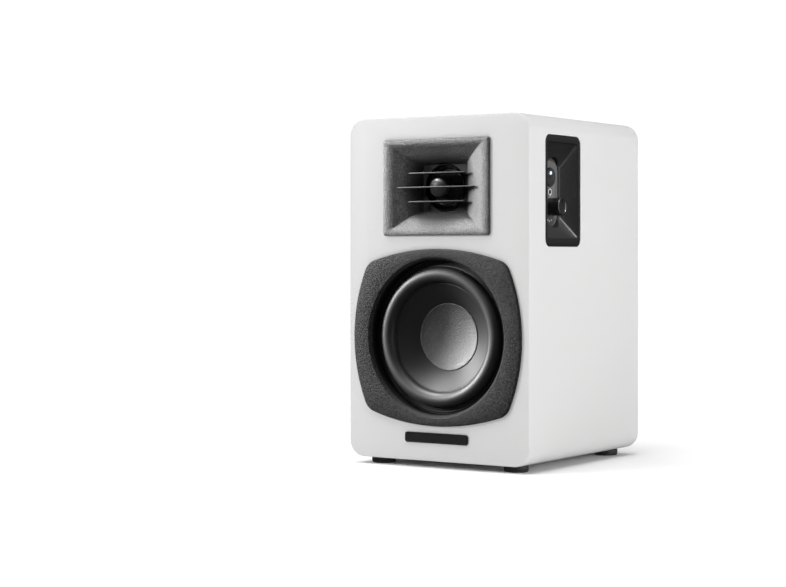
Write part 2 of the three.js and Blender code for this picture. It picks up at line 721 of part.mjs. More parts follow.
function addAmpPanel() {
  const middle = (AMP.top + AMP.bottom) / 2;
  const outline = roundedOutline(0, middle, AMP.halfWidth, (AMP.top - AMP.bottom) / 2, 2, 3);
  const sheet = prism(outline, AMP.inside, AMP.outside);
  const hole = (x, z, radius, sides = 12) =>
    turned(rodProfile(radius, AMP.inside - 1, AMP.outside + 1), { x, z, sides });
  const terminalHole = block(
    [TERMINAL.x - 16, TERMINAL.x + 16],
    [AMP.inside - 1, AMP.outside + 1],
    [TERMINAL.bottom + 3, TERMINAL.bottom + 9],
  );
  const holes = [
    ...ampScrewPlaces().map(({ x, z }) => hole(x, z, 1.9, 12)),
    hole(RCA.left, RCA.z, 3.4),
    hole(RCA.right, RCA.z, 3.4),
    hole(INLET.x, INLET.z, INLET.radius - 0.9, 20),
    terminalHole,
  ];
  add("amp_panel", cut(sheet, ...holes), 0x232325, 0.5, 0.5);

  ampScrewPlaces().forEach(({ x, z }, i) => {
    const head = AMP.outside + 0.2;
    const profile = [
      [0, head + 1.7],
      [1.8, head + 1.5],
      [3, head + 0.7],
      [3.2, head],
      [1.5, head],
      [1.5, 129.5],
      [0, 128.5],
    ];
    add(`panel_screw_${i + 1}`, turned(profile, { x, z, sides: 10 }), 0x303030, 0.4, 0.8);
  });
}

function addSockets() {
  const base = AMP.outside + 0.2;
  const { left, right, z, radius, length } = RCA;
  const plate = block([left - 8, right + 8], [base, base + 2], [z - 8, z + 8]);
  const barrel = (x) =>
    join(
      turned(rodProfile(radius, base + 1, base + length), { x, z, sides: 18 }),
      turned(rodProfile(3, AMP.inside - 4, base + 1), { x, z, sides: 18 }),
    );
  const bore = (x) => turned(rodProfile(1.7, base - 1, base + length + 1), { x, z, sides: 10 });
  add("rca_jacks", cut(join(plate, barrel(left), barrel(right)), bore(left), bore(right)), 0x1c1c1e, 0.4);

  const socket = turned(
    [
      [INLET.bore, base + 1.2],
      [INLET.radius, base + 1.2],
      [INLET.radius, base],
      [INLET.radius - 1.2, base],
      [INLET.radius - 1.2, AMP.inside - 9],
      [INLET.pin, AMP.inside - 9],
      [0, AMP.inside - 9],
      [0, base - 0.5],
      [INLET.pin, base - 0.5],
      [INLET.pin, AMP.inside - 8],
      [INLET.bore, AMP.inside - 8],
      [INLET.bore, base + 1.2],
    ],
    { x: INLET.x, z: INLET.z, sides: 18 },
  );
  add("power_inlet", socket, BLACK, 0.4);
}

function addSpeakerTerminals() {
  const { x, halfWidth, bottom, top, thickness, pitch } = TERMINAL;
  const base = AMP.outside + 0.2;
  const face = base + thickness;
  const housing = block([x - halfWidth, x + halfWidth], [base, face], [bottom, top]);
  const cuts = [];
  const tags = [];
  const centres = { red: x - pitch / 2, black: x + pitch / 2 };
  for (const [colour, cx] of Object.entries(centres)) {
    cuts.push(block([cx - 6.6, cx + 6.6], [LEVER.y - 2, face + 1], [LEVER.z - 5.5, LEVER.z + 3]));
    cuts.push(turned(rodProfile(1.7, base + 1, face + 1), { x: cx, z: bottom + 6, sides: 10 }));
    tags.push(block([cx - 1.5, cx + 1.5], [AMP.inside - 5, base + 1], [bottom + 4, bottom + 8]));
    const hub = turnedX(rodProfile(LEVER.hub, cx - LEVER.halfWidth, cx + LEVER.halfWidth), {
      y: LEVER.y,
      z: LEVER.z,
      sides: 12,
    });
    const tab = block(
      [cx - LEVER.halfWidth, cx + LEVER.halfWidth],
      [LEVER.y, LEVER.tip],
      [LEVER.z - LEVER.thickness / 2, LEVER.z + LEVER.thickness / 2],
    );
    add(`lever_${colour}`, join(hub, tab), colour === "red" ? 0xa81c1c : 0x101010, 0.4);
  }
  add("terminal_block", cut(join(housing, ...tags), ...cuts), BLACK, 0.5);
}

function addAmplifier() {
  const front = 118;
  const board = block([-36, 36], [front, front + 1.6], [28, 92]);
  add("amp_pcb", board, BOARD_GREEN, 0.5);

  const fins = [block([-28, 28], [front - 4, front - 0.2], [62, 86])];
  for (let i = 0; i < 8; i += 1) {
    const x = -28 + i * 7.75;
    fins.push(block([x, x + 1.75], [front - 18, front - 3], [62, 86]));
  }
  add("heat_sink", join(...fins), 0x9a9c9f, 0.4, 0.9);
  add("filter_capacitor", turned(rodProfile(8, front - 22, front - 0.2), { x: 12, z: 44 }), 0x22262e, 0.4);
}

// A pair of wires that runs smoothly through the given points.
function wire(points) {
  const path = new THREE.CatmullRomCurve3(points.map((p) => new THREE.Vector3(...p)));
  const round = arcPoints(0, 0, 1.1, 0, 2 * Math.PI, 6).slice(1);
  const section = new THREE.Shape(round.map(([u, v]) => new THREE.Vector2(u, v)));
  return solid(new THREE.ExtrudeGeometry(section, { steps: 12, extrudePath: path, bevelEnabled: false }));
}

function addWiring() {
  const toWoofer = [
    [32, 116, 88],
    [34, 104, 96],
    [34, 70, 104],
    [32, 40, 102],
    [24, 26, 98],
  ];
  const toTweeter = [
    [20, 116, 90],
    [26, 104, 108],
    [28, 70, 128],
    [24, 44, 144],
    [10, 32, 152],
  ];
  add("woofer_wires", wire(toWoofer), 0x8a1f1f, 0.5);
  add("tweeter_wires", wire(toTweeter), 0x20202a, 0.5);
}

addCabinet();
addPort();
addFeet();
addWooferFrame();
addWooferCone();
addWooferMotor();
addHorn();
addPhasePlug();
addTweeterMotor();
addControlPanel();
addKnob();
addButton();
addAmpPanel();
addSockets();
addSpeakerTerminals();
addAmplifier();
addWiring();

// The origin goes below the middle of the whole object, on the surface that it stands on.
body.position.set(0, -(LEVER.tip - BEZEL.proud) / 2, FOOT.height);

export default speaker;
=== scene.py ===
# %% [markdown]
# # A compact bookshelf speaker
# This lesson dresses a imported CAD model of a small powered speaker: a white wooden cabinet, a cone
# woofer in a bowed plastic bezel, a horn tweeter with three vanes, a control recess in the right
# side and an amplifier panel on the back. The CAD parts hold the sizes and the motion. What you
# see is modelled here around them, each piece in its real place.

# %% Load the fixed frame
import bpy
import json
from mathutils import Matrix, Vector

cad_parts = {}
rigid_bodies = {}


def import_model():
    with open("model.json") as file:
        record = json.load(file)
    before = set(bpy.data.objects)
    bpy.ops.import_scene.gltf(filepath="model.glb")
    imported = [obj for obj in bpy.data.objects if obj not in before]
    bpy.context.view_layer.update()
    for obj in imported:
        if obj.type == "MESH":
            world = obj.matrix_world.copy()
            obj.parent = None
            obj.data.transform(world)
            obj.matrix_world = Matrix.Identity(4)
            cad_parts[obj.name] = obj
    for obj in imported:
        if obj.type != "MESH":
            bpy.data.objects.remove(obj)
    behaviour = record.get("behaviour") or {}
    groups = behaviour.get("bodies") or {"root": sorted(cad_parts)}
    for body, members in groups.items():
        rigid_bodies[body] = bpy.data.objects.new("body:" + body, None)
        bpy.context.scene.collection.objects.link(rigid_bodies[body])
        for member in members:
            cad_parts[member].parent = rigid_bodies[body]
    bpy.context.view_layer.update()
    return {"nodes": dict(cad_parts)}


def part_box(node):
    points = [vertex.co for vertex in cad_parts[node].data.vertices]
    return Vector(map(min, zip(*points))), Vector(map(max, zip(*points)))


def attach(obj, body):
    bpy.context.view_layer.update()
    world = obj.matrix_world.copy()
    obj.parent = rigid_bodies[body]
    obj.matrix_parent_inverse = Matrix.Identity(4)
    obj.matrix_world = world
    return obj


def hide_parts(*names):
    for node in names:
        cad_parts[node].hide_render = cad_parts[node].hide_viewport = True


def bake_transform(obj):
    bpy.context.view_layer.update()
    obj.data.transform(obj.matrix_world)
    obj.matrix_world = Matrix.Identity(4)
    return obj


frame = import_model()

# %% [markdown]
# The CAD model is in metres, with its origin on the table below the middle of the object. A maker
# thinks of this speaker from its baffle, the front board, so `spot` takes millimetres from the
# middle of the cabinet, from the baffle's face and from the cabinet's underside.

# %% Places in the cabinet's own millimetres
import json
from math import atan2, cos, degrees, hypot, pi, radians, sin, sqrt

import bmesh
import bpy
from mathutils import Matrix, Vector

MM = 0.001
carcass_low, carcass_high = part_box("cabinet_carcass")
BAFFLE_Y = carcass_low.y
UNDERSIDE_Z = carcass_low.z
WIDTH, DEPTH, HEIGHT = ((b - a) / MM for a, b in zip(carcass_low, carcass_high))
WOOFER_Z, HORN_Z = 71.8, 158.9      # the heights of the two drivers' axes


def spot(x, y, z):
    """Metres, from millimetres right of the middle, behind the baffle and up the cabinet."""
    return Vector((x * MM, BAFFLE_Y + y * MM, UNDERSIDE_Z + z * MM))


print(f"cabinet {WIDTH:.0f} x {DEPTH:.0f} x {HEIGHT:.0f} mm, baffle at y = {BAFFLE_Y:.4f} m")

# %% [markdown]
# ## The camera and the light
# The camera stands level, 34 degrees to the right of the front, with its shift keeping the upright
# edges upright. The set is a white studio cove: a pale floor, a bright backdrop that only the
# camera sees, a weak white surround that lifts every shadow, and a wide sun that stands for the
# ceiling. A small key box in front on the left makes the horn and the cone read as hollows, and a
# large box on the right lights the long side. Three more boxes reach only the dark mouldings,
# which swallow most of the light that falls on them.

# %% Camera
CAMERA_TURN = radians(33.92)
CAMERA_PLACE = (590.6, -923.5, 120.6)      # in the cabinet's millimetres
LENS, SENSOR, SHIFT = 86.76, 36, -0.0512    # millimetres, millimetres and sensor widths
camera_data = bpy.data.cameras.new("camera")
camera_data.lens = LENS
camera_data.sensor_width = SENSOR
camera_data.shift_y = SHIFT
camera = bpy.data.objects.new("camera", camera_data)
camera.location = spot(*CAMERA_PLACE)
camera.rotation_euler = (radians(90), 0, CAMERA_TURN)
bpy.context.scene.collection.objects.link(camera)
bpy.context.scene.camera = camera
print("camera at", [round(v, 3) for v in camera.location])

# %% Studio light
FILL, BACKDROP, WHITE = 0.12, 1.05, (1, 1, 1, 1)
world = bpy.data.worlds.new("white_surround")
bpy.context.scene.world = world
world.use_nodes = True
surround_nodes = world.node_tree.nodes
fill = surround_nodes["Background"]
fill.inputs["Color"].default_value = WHITE
fill.inputs["Strength"].default_value = FILL
backdrop = surround_nodes.new("ShaderNodeBackground")
backdrop.inputs["Color"].default_value = WHITE
backdrop.inputs["Strength"].default_value = BACKDROP
seen = surround_nodes.new("ShaderNodeLightPath")
blend = surround_nodes.new("ShaderNodeMixShader")
wire_up = world.node_tree.links.new
wire_up(seen.outputs["Is Camera Ray"], blend.inputs[0])
wire_up(fill.outputs[0], blend.inputs[1])
wire_up(backdrop.outputs[0], blend.inputs[2])
wire_up(blend.outputs[0], surround_nodes["World Output"].inputs["Surface"])
bpy.context.scene.view_settings.view_transform = "Standard"
print("surround:", FILL, "backdrop:", BACKDROP)

# %% Soft boxes and the cove's ceiling
AIM = spot(0, 60, 100)
BOX_GAP = 1.3               # metres from the aim to each box
CEILING_WAY = (-0.14, -0.10, 0.98)


def hang(name, kind, power):
    """A lamp of the given kind, linked to the scene."""
    light = bpy.data.lights.new(name, kind)
    light.energy = power
    lamp = bpy.data.objects.new(name, light)
    bpy.context.scene.collection.objects.link(lamp)
    return lamp


def soft_box(name, way, size, watts):
    """A square area light that stands in a direction from the aim and looks at it."""
    lamp = hang(name, "AREA", watts)
    lamp.data.shape = "SQUARE"
    lamp.data.size = size
    lamp.location = AIM + Vector(way) * BOX_GAP
    lamp.rotation_euler = (AIM - lamp.location).to_track_quat("-Z", "Y").to_euler()
    return lamp


soft_box("key_box", (-0.56, -0.74, 0.38), 0.25, 7.2)
soft_box("side_box", (0.97, 0.1, 0.02), 0.9, 16)

# The sun stands for the ceiling of the cove: it lights the whole floor evenly, out to the horizon.
ceiling = hang("cove_ceiling", "SUN", 3.3)
ceiling.data.angle = radians(60)
ceiling.rotation_euler = Vector(CEILING_WAY).to_track_quat("Z", "Y").to_euler()

# Light linking lets each accent box reach only the pieces in its own collection. The collections
# are filled at the end, when the pieces exist.
accents = {}
for name, way, size, watts in [
    ("accent_left", (-0.86, -0.40, 0.27), 0.36, 48),
    ("accent_top", (-0.45, -0.20, 0.87), 0.24, 32),
    ("accent_side", (0.78, 0.02, 0.62), 0.25, 28),
]:
    accents[name] = bpy.data.collections.new(f"{name}_reach")
    soft_box(name, way, size, watts).light_linking.receiver_collection = accents[name]

# %% [markdown]
# ## Sums in shader nodes
# A finish is a small network of nodes. Written out by hand it hides the idea, so a `Signal` wraps
# one socket and lets it take part in ordinary Python sums, and a `Finish` adds any other node.

# %% Signals and finishes


class Signal:
    """A node's output that can be added, subtracted and multiplied like a number."""

    def __init__(self, finish, socket):
        self.finish = finish
        self.socket = socket

    def _sum(self, operation, first, second):
        return self.finish.node("ShaderNodeMath", {"operation": operation}, {0: first, 1: second})

    def __add__(self, other):
        return self._sum("ADD", self, other)

    def __sub__(self, other):
        return self._sum("SUBTRACT", self, other)

    def __rsub__(self, other):
        return self._sum("SUBTRACT", other, self)

    def __mul__(self, other):
        return self._sum("MULTIPLY", self, other)

    __radd__ = __add__

    def spread(self, low, high):
        """0 at or below low, 1 at or above high, and a straight line between them."""
        return self.finish.node("ShaderNodeMapRange", {}, {0: self, 1: low, 2: high})


class Finish:
    """A material whose patterns lie on the object's own coordinates, in metres."""

    def __init__(self, name, **fixed):
        self.material = bpy.data.materials.new(name)
        self.material.use_nodes = True
        self.tree = self.material.node_tree
        self.surface = self.tree.nodes["Principled BSDF"]
        self.place = self.node("ShaderNodeTexCoord", output="Object")
        self.drive(**fixed)

    def put(self, socket, value):
        if isinstance(value, Signal):
            self.tree.links.new(value.socket, socket)
        else:
            socket.default_value = value

    def node(self, kind, settings=None, inputs=None, output=0):
        """Adds a node: its settings come first, then the numbers or links of its sockets."""
        made = self.tree.nodes.new(kind)
        for key, value in (settings or {}).items():
            setattr(made, key, value)
        for key, value in (inputs or {}).items():
            self.put(made.inputs[key], value)
        return Signal(self, made.outputs[output])

    def noise(self, size, detail=2.0, roughness=0.5, stretch=None):
        """Cloudy values from 0 to 1 whose blobs are about size millimetres across."""
        where = self.place
        if stretch:
            where = self.node("ShaderNodeMapping", {}, {"Vector": where, "Scale": stretch})
        sockets = {"Scale": 1 / (size * MM), "Detail": detail, "Roughness": roughness}
        return self.node("ShaderNodeTexNoise", {}, {"Vector": where, **sockets})

    def cells(self, size):
        """Distances from the middles of a pattern of cells about size millimetres across."""
        sockets = {"Vector": self.place, "Scale": 1 / (size * MM)}
        return self.node("ShaderNodeTexVoronoi", {}, sockets, "Distance")

    def axis(self, letter):
        """One coordinate of the surface, in metres."""
        return self.node("ShaderNodeSeparateXYZ", {}, {0: self.place}, letter)

    def tint(self, amount, dark, light):
        """A colour between two, where amount runs from 0 to 1."""
        sockets = {0: amount, 6: (*dark, 1), 7: (*light, 1)}
        return self.node("ShaderNodeMix", {"data_type": "RGBA"}, sockets, 2)

    def relief(self, height, depth):
        """A bump normal from values of height, depth millimetres deep."""
        sockets = {"Height": height, "Distance": depth * MM}
        return self.node("ShaderNodeBump", {}, sockets, "Normal")

    def drive(self, **sockets):
        """Gives values or links to the surface's sockets, such as base_color or roughness."""
        for key, value in sockets.items():
            label = key.replace("_", " ").title().replace("Ior", "IOR")
            self.put(self.surface.inputs[label], value)
        return self.material


def grey(value, warmth=0.0):
    """A colour from one grey value, a little warmer or cooler."""
    return (value * (1 + warmth), value, value * (1 - warmth))


def scaled(tone, factor):
    """A colour made darker or lighter by a factor."""
    return tuple(value * factor for value in tone)


print("a slightly warm grey:", grey(0.5, 0.01))

# %% [markdown]
# ## The finishes
# The cabinet is wrapped in satin white film with the faint orange peel that film takes from
# the board under it. The bezels are charcoal plastic, moulded against a spark-eroded tool, which
# leaves a fine sandy grain that glitters a little. On the horn the grain is darkened with painted
# shade towards its throat, so that the dome sits in shade. Everything else is a variation on these
# ideas: a colour that wanders, a roughness that wanders with it, and a bump at the true scale.

# %% White film and painted board


def white_film(name, tone):
    finish = Finish(name, specular_ior_level=0.45)
    cloud = finish.noise(55, 3)
    peel = finish.noise(0.9, 2)
    pores = finish.noise(0.22, 1)
    colour = finish.tint(cloud * 0.7 + pores * 0.3, grey(tone * 0.975), grey(tone, 0.002))
    rough = 0.40 + cloud * 0.08 + pores * 0.06
    bump = finish.relief(peel + pores * 0.25, 0.03)
    return finish.drive(base_color=colour, roughness=rough, normal=bump)


WHITE_FILM = white_film("cabinet_white_film", 0.59)
print("made", WHITE_FILM.name)

# %% Moulded plastics


def sandy_plastic(name, dark, light, grain, rough, depth, shine, painted_shade=None):
    """Charcoal plastic with a spark-eroded grain: raised specks that catch the light. With its last
    argument, (height, inner radius, outer radius), painted shade darkens the grain to black towards
    that axis."""
    finish = Finish(name, specular_ior_level=shine)
    sand = finish.noise(grain, 2, 0.6)
    specks = finish.noise(grain * 0.45, 1)
    cloud = finish.noise(18, 2)
    peaks = (sand * 0.6 + specks * 0.4).spread(0.38, 0.66)
    lightness = peaks * 0.8 + cloud * 0.2
    roughness = rough - 0.08 + cloud * 0.1 + peaks * 0.06
    # Painted shade: towards the axis the colour darkens to black and the roughness rises, standing
    # in for shade.
    if painted_shade:
        height, inner, outer = painted_shade
        across = finish.axis("X")
        above = finish.axis("Z") - height
        unshaded_share = (across * across + above * above).spread((inner * MM) ** 2, (outer * MM) ** 2)
        lightness = lightness * unshaded_share
        roughness = roughness + (1 - unshaded_share) * 0.5
    colour = finish.tint(lightness, grey(dark), grey(light))
    return finish.drive(base_color=colour, roughness=roughness, normal=finish.relief(peaks, depth))


def smooth_plastic(name, tone, rough, depth=0.012, shine=0.5):
    """Plain moulded plastic: nearly smooth, with a soft wander in its gloss."""
    finish = Finish(name, specular_ior_level=shine)
    cloud = finish.noise(9, 3)
    fine = finish.noise(0.3, 2)
    colour = finish.tint(cloud * 0.6 + fine * 0.4, scaled(tone, 0.82), scaled(tone, 1.15))
    roughness = rough + cloud * 0.1 + fine * 0.06 - 0.08
    return finish.drive(base_color=colour, roughness=roughness, normal=finish.relief(fine, depth))


# Painted shade around the horn's throat: black within 15 mm of its axis, fading out by 27 mm.
HORN_PAINTED_SHADE = (spot(0, 0, HORN_Z).z, 15, 27)
BEZEL_GRAIN = sandy_plastic("bezel_charcoal_grain", 0.001, 0.024, 0.95, 0.5, 0.14, 0.10)
HORN_GRAIN_AND_PAINTED_SHADE = sandy_plastic("horn_charcoal_grain_and_painted_shade", 0.002, 0.070, 0.85, 0.42, 0.14, 0.42, HORN_PAINTED_SHADE)
RECESS_GRAIN = sandy_plastic("recess_black_grain", 0.003, 0.014, 0.6, 0.42, 0.04, 0.3)
FASCIA_SATIN = smooth_plastic("fascia_grey_satin", grey(0.045), 0.46)
PLASTIC_BLACK = smooth_plastic("moulded_black", grey(0.012), 0.38)
VANE_BLACK = smooth_plastic("vane_black_satin", grey(0.003), 0.46, shine=0.35)
# Painted shade: this near-black matt finish stands for the shade in the woofer bezel's mouth, the
# surround's outer channel, the horn's throat and the phase plug; it also colours the control well's
# black rim.
MATT_BLACK_AND_PAINTED_SHADE = smooth_plastic("matt_black_and_painted_shade", grey(0.003), 0.62, 0.012, 0.15)
KNOB_BLACK = smooth_plastic("knob_black", grey(0.004), 0.30)
GLOSS_BLACK = smooth_plastic("gloss_black_bar", grey(0.012), 0.16, 0.004)
NOSE_SATIN = smooth_plastic("nose_satin", grey(0.012), 0.42, 0.006, 0.6)
BUTTON_SATIN = smooth_plastic("button_satin", grey(0.022), 0.34)
LEVER_RED = smooth_plastic("lever_red_gloss", (0.42, 0.018, 0.018), 0.24)
LEVER_BLACK = smooth_plastic("lever_black_gloss", grey(0.014), 0.24)
print("plastics:", BEZEL_GRAIN.name, HORN_GRAIN_AND_PAINTED_SHADE.name, RECESS_GRAIN.name)

# %% Rubber, cone, dust cap and cloth


def moulded_rubber(name, tone, rough):
    """Rubber with the dull bloom that its oils leave on the skin."""
    finish = Finish(name, specular_ior_level=0.5)
    bloom = finish.noise(7, 3)
    skin = finish.noise(0.25, 2)
    colour = finish.tint(bloom * 0.7 + skin * 0.3, grey(tone * 0.7), grey(tone * 1.5))
    roughness = rough - 0.06 + bloom * 0.12 + skin * 0.05
    return finish.drive(base_color=colour, roughness=roughness, normal=finish.relief(skin, 0.015))


def pressed_pulp(name, dark, light, mottle, rough, depth, shine):
    """Cone paper: fibres pressed to a mottled skin and coated."""
    finish = Finish(name, specular_ior_level=shine)
    clumps = finish.noise(mottle, 3, 0.6)
    fibres = finish.noise(mottle * 0.4, 2, 0.5, (1, 1, 2.5))
    hills = clumps * 0.65 + fibres * 0.35
    colour = finish.tint(hills.spread(0.3, 0.7), grey(dark), grey(light))
    roughness = rough + fibres * 0.12 - 0.06
    return finish.drive(base_color=colour, roughness=roughness, normal=finish.relief(hills, depth))


def woven_cloth(name, tone, pitch):
    """A plain weave: two sets of threads that cross, each rising over the other."""
    finish = Finish(name, specular_ior_level=0.2)
    turns = 2 * pi / (pitch * MM)
    warp = finish.node("ShaderNodeMath", {"operation": "SINE"}, {0: finish.axis("X") * turns})
    weft = finish.node("ShaderNodeMath", {"operation": "SINE"}, {0: finish.axis("Z") * turns})
    cloud = finish.noise(5, 3)
    height = warp * weft * 0.5 + 0.5
    colour = finish.tint(height * 0.6 + cloud * 0.4, scaled(tone, 0.6), tone)
    rough = 0.8 + cloud * 0.1
    return finish.drive(base_color=colour, roughness=rough, normal=finish.relief(height, 0.1))


SURROUND_RUBBER = moulded_rubber("surround_rubber", 0.004, 0.49)
FOAM_BLACK = moulded_rubber("foam_gasket", 0.012, 0.8)
FOOT_RUBBER = moulded_rubber("foot_rubber", 0.012, 0.62)
CONE_PULP = pressed_pulp("cone_coated_pulp", 0.003, 0.006, 0.9, 0.50, 0.012, 0.5)
CAP_PULP = pressed_pulp("dust_cap_pulp", 0.004, 0.034, 1.3, 0.39, 0.7, 1.0)
DOME_SILK = woven_cloth("dome_coated_silk", grey(0.020), 0.35)
SPIDER_CLOTH = woven_cloth("spider_cloth", (0.50, 0.34, 0.10), 0.7)
WADDING = woven_cloth("wadding_fibre", (0.62, 0.62, 0.58), 2.5)
print("soft finishes:", SURROUND_RUBBER.name, CONE_PULP.name, CAP_PULP.name)

# %% Metals, boards and small finishes


def plated_metal(name, tone, rough, drawn=(1, 1, 8)):
    """Metal with faint lines along one axis and a cloud of uneven plating."""
    finish = Finish(name, metallic=1.0)
    lines = finish.noise(0.5, 2, 0.5, drawn)
    cloud = finish.noise(6, 3)
    colour = finish.tint(cloud * 0.6 + lines * 0.4, scaled(tone, 0.8), tone)
    roughness = rough + cloud * 0.12 + lines * 0.08 - 0.1
    return finish.drive(base_color=colour, roughness=roughness, normal=finish.relief(lines, 0.008))


def powder_coat(name, tone, rough):
    """Baked powder, which flows into a fine orange peel."""
    finish = Finish(name, specular_ior_level=0.5)
    orange = finish.noise(0.35, 2)
    cloud = finish.noise(20, 2)
    colour = finish.tint(orange * 0.7 + cloud * 0.3, grey(tone * 0.75), grey(tone * 1.35))
    roughness = rough - 0.06 + orange * 0.12
    return finish.drive(base_color=colour, roughness=roughness, normal=finish.relief(orange, 0.05))


def circuit_board(name):
    """Green solder resist over copper tracks, which show as a slightly paler net."""
    finish = Finish(name, specular_ior_level=0.5)
    tracks = finish.cells(3.2).spread(0.42, 0.46)
    fine = finish.noise(0.4, 2)
    colour = finish.tint(tracks * 0.7 + fine * 0.3, (0.012, 0.075, 0.035), (0.035, 0.15, 0.07))
    rough = 0.28 + fine * 0.12
    return finish.drive(base_color=colour, roughness=rough, normal=finish.relief(tracks, 0.03))


STEEL = plated_metal("zinc_plated_steel", (0.62, 0.62, 0.63), 0.32)
NICKEL = plated_metal("nickel_plate", (0.70, 0.68, 0.64), 0.2)
COPPER = plated_metal("copper_winding", (0.75, 0.36, 0.20), 0.3, (1, 12, 1))
ALUMINIUM = plated_metal("extruded_aluminium", (0.72, 0.72, 0.73), 0.36)
FERRITE = powder_coat("ferrite_magnet", 0.030, 0.55)
PRESSED_BLACK = powder_coat("black_pressed_steel", 0.022, 0.42)
PANEL_BLACK = powder_coat("black_panel_coat", 0.018, 0.46)
SCREW_BLACK = plated_metal("black_oxide_screw", (0.10, 0.10, 0.10), 0.34)
BOARD_GREEN = circuit_board("board_solder_resist")
WIRE_DARK = smooth_plastic("wire_dark", (0.012, 0.012, 0.02), 0.4)
WIRE_RED = smooth_plastic("wire_red", (0.25, 0.02, 0.02), 0.4)
CAPACITOR = smooth_plastic("capacitor_sleeve", (0.02, 0.03, 0.07), 0.3)
RING_WHITE = smooth_plastic("jack_white", grey(0.72), 0.34)
RING_RED = smooth_plastic("jack_red", (0.50, 0.02, 0.02), 0.34)
MARK_WHITE = smooth_plastic("printed_mark", grey(0.62), 0.5)
SMOKED_LENS = smooth_plastic("smoked_lens", grey(0.010), 0.12, 0.002)


def glowing_lens(name, colour, strength):
    finish = Finish(name, emission_strength=strength)
    cloud = finish.noise(0.5, 2)
    glow = finish.tint(cloud, scaled(colour, 0.8), colour)
    return finish.drive(base_color=glow, emission_color=glow, roughness=0.2 + cloud * 0.1)


STATUS_GLOW = glowing_lens("status_light", (0.72, 0.86, 1.0), 1.2)
print("materials:", len(bpy.data.materials))

# %% [markdown]
# ## Modelling helpers
# A primitive is only a start. A ring of vertices can be laid on any outline; spun round an axis it
# becomes a turned part, and extruded from outline to outline it becomes a moulding. Everything is
# deselected first, because an operator acts on all that is selected.

# %% Selecting and starting a piece


def deselect():
    active = bpy.context.view_layer.objects.active
    if active and active.mode != "OBJECT":
        bpy.ops.object.mode_set(mode="OBJECT")
    for piece in bpy.context.scene.objects:
        piece.select_set(False)


def take(piece):
    """Makes one piece the only one that is selected and active."""
    deselect()
    piece.select_set(True)
    bpy.context.view_layer.objects.active = piece


def laid_outline(name, points):
    """A circle primitive whose vertices are laid in order on the points of an outline."""
    deselect()
    bpy.ops.mesh.primitive_circle_add(vertices=len(points), radius=0.01)
    piece = bpy.context.object
    piece.name = name
    for vertex, point in zip(piece.data.vertices, points):
        vertex.co = point
    return piece


def tidy_mesh():
    """In edit mode: joins doubles, clears loose edges and turns the faces outwards."""
    bpy.ops.mesh.select_all(action="SELECT")
    bpy.ops.mesh.remove_doubles(threshold=1e-6)
    bpy.ops.mesh.delete_loose()
    bpy.ops.mesh.select_all(action="SELECT")
    bpy.ops.mesh.normals_make_consistent(inside=False)
    bpy.ops.object.mode_set(mode="OBJECT")


def spun(name, section, centre, axis=(0, 1, 0), steps=96):
    """Spins a closed half section, a list of (radius, distance along the axis) in millimetres."""
    ax = Vector(axis)
    out = Vector((1, 0, 0)) if axis[2] else Vector((0, 0, 1))
    points = [Vector(centre) + (out * radius + ax * along) * MM for radius, along in section]
    piece = laid_outline(name, points)
    bpy.ops.object.mode_set(mode="EDIT")
    bpy.ops.mesh.select_all(action="SELECT")
    bpy.ops.mesh.spin(steps=steps, angle=2 * pi, center=centre, axis=axis)
    tidy_mesh()
    return piece


def moulded(name, outlines, closed=False):
    """Extrudes a ring of edges through the outlines; its ends are filled, or joined if closed."""
    piece = laid_outline(name, outlines[0])
    bpy.ops.object.mode_set(mode="EDIT")
    bpy.ops.mesh.select_all(action="SELECT")
    mesh = bmesh.from_edit_mesh(piece.data)
    mesh.verts.ensure_lookup_table()
    order = mesh.verts.layers.int.new("order")
    for i, vertex in enumerate(mesh.verts):
        vertex[order] = i
    bmesh.update_edit_mesh(piece.data)
    for outline in [*outlines[1:], *([outlines[0]] if closed else [])]:
        bpy.ops.mesh.extrude_edges_move()
        mesh = bmesh.from_edit_mesh(piece.data)
        order = mesh.verts.layers.int["order"]
        for vertex in mesh.verts:
            if vertex.select:
                vertex.co = outline[vertex[order]]
        bmesh.update_edit_mesh(piece.data)
    bpy.ops.mesh.select_all(action="SELECT")
    bpy.ops.mesh.remove_doubles(threshold=1e-6)
    if not closed:
        bpy.ops.mesh.select_all(action="SELECT")
        bpy.ops.mesh.fill_holes(sides=0)
    tidy_mesh()
    return piece


def block(name, low, high):
    """A cube primitive between two corners given in cabinet millimetres."""
    deselect()
    a, b = spot(*low), spot(*high)
    bpy.ops.mesh.primitive_cube_add(size=1, location=(a + b) / 2, scale=b - a)
    piece = bpy.context.object
    piece.name = name
    bpy.ops.object.transform_apply(location=True, rotation=True, scale=True)
    return piece


print("helpers are ready")

# %% Finishing a piece


def apply_modifier(piece, kind, **settings):
    take(piece)
    modifier = piece.modifiers.new(kind.lower(), kind)
    for key, value in settings.items():
        setattr(modifier, key, value)
    bpy.ops.object.modifier_apply(modifier=modifier.name)


def carve(piece, *cutters):
    """Cuts the shape of each cutter out of a piece, and removes the cutter."""
    for cutter in cutters:
        apply_modifier(piece, "BOOLEAN", operation="DIFFERENCE", solver="EXACT", object=cutter)
        bpy.data.objects.remove(cutter)


def soften(piece, width, segments=2, angle=30):
    """With a width, rounds every edge sharper than angle; then shades smoothly across the rest."""
    if width:
        apply_modifier(
            piece,
            "BEVEL",
            width=width * MM,
            segments=segments,
            limit_method="ANGLE",
            angle_limit=radians(angle),
            use_clamp_overlap=True,
        )
    take(piece)
    bpy.ops.object.shade_smooth_by_angle(angle=radians(angle))


def settle(piece, body, finish, slot, *nodes):
    """Gives a piece its finish and its body, and hides the CAD nodes that it stands for. The slot is
    not used.
    """
    piece.data.materials.clear()
    piece.data.materials.append(finish)
    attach(piece, body)
    if nodes:
        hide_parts(*nodes)
    print(f"{piece.name}: {len(piece.data.polygons)} faces on {body}")


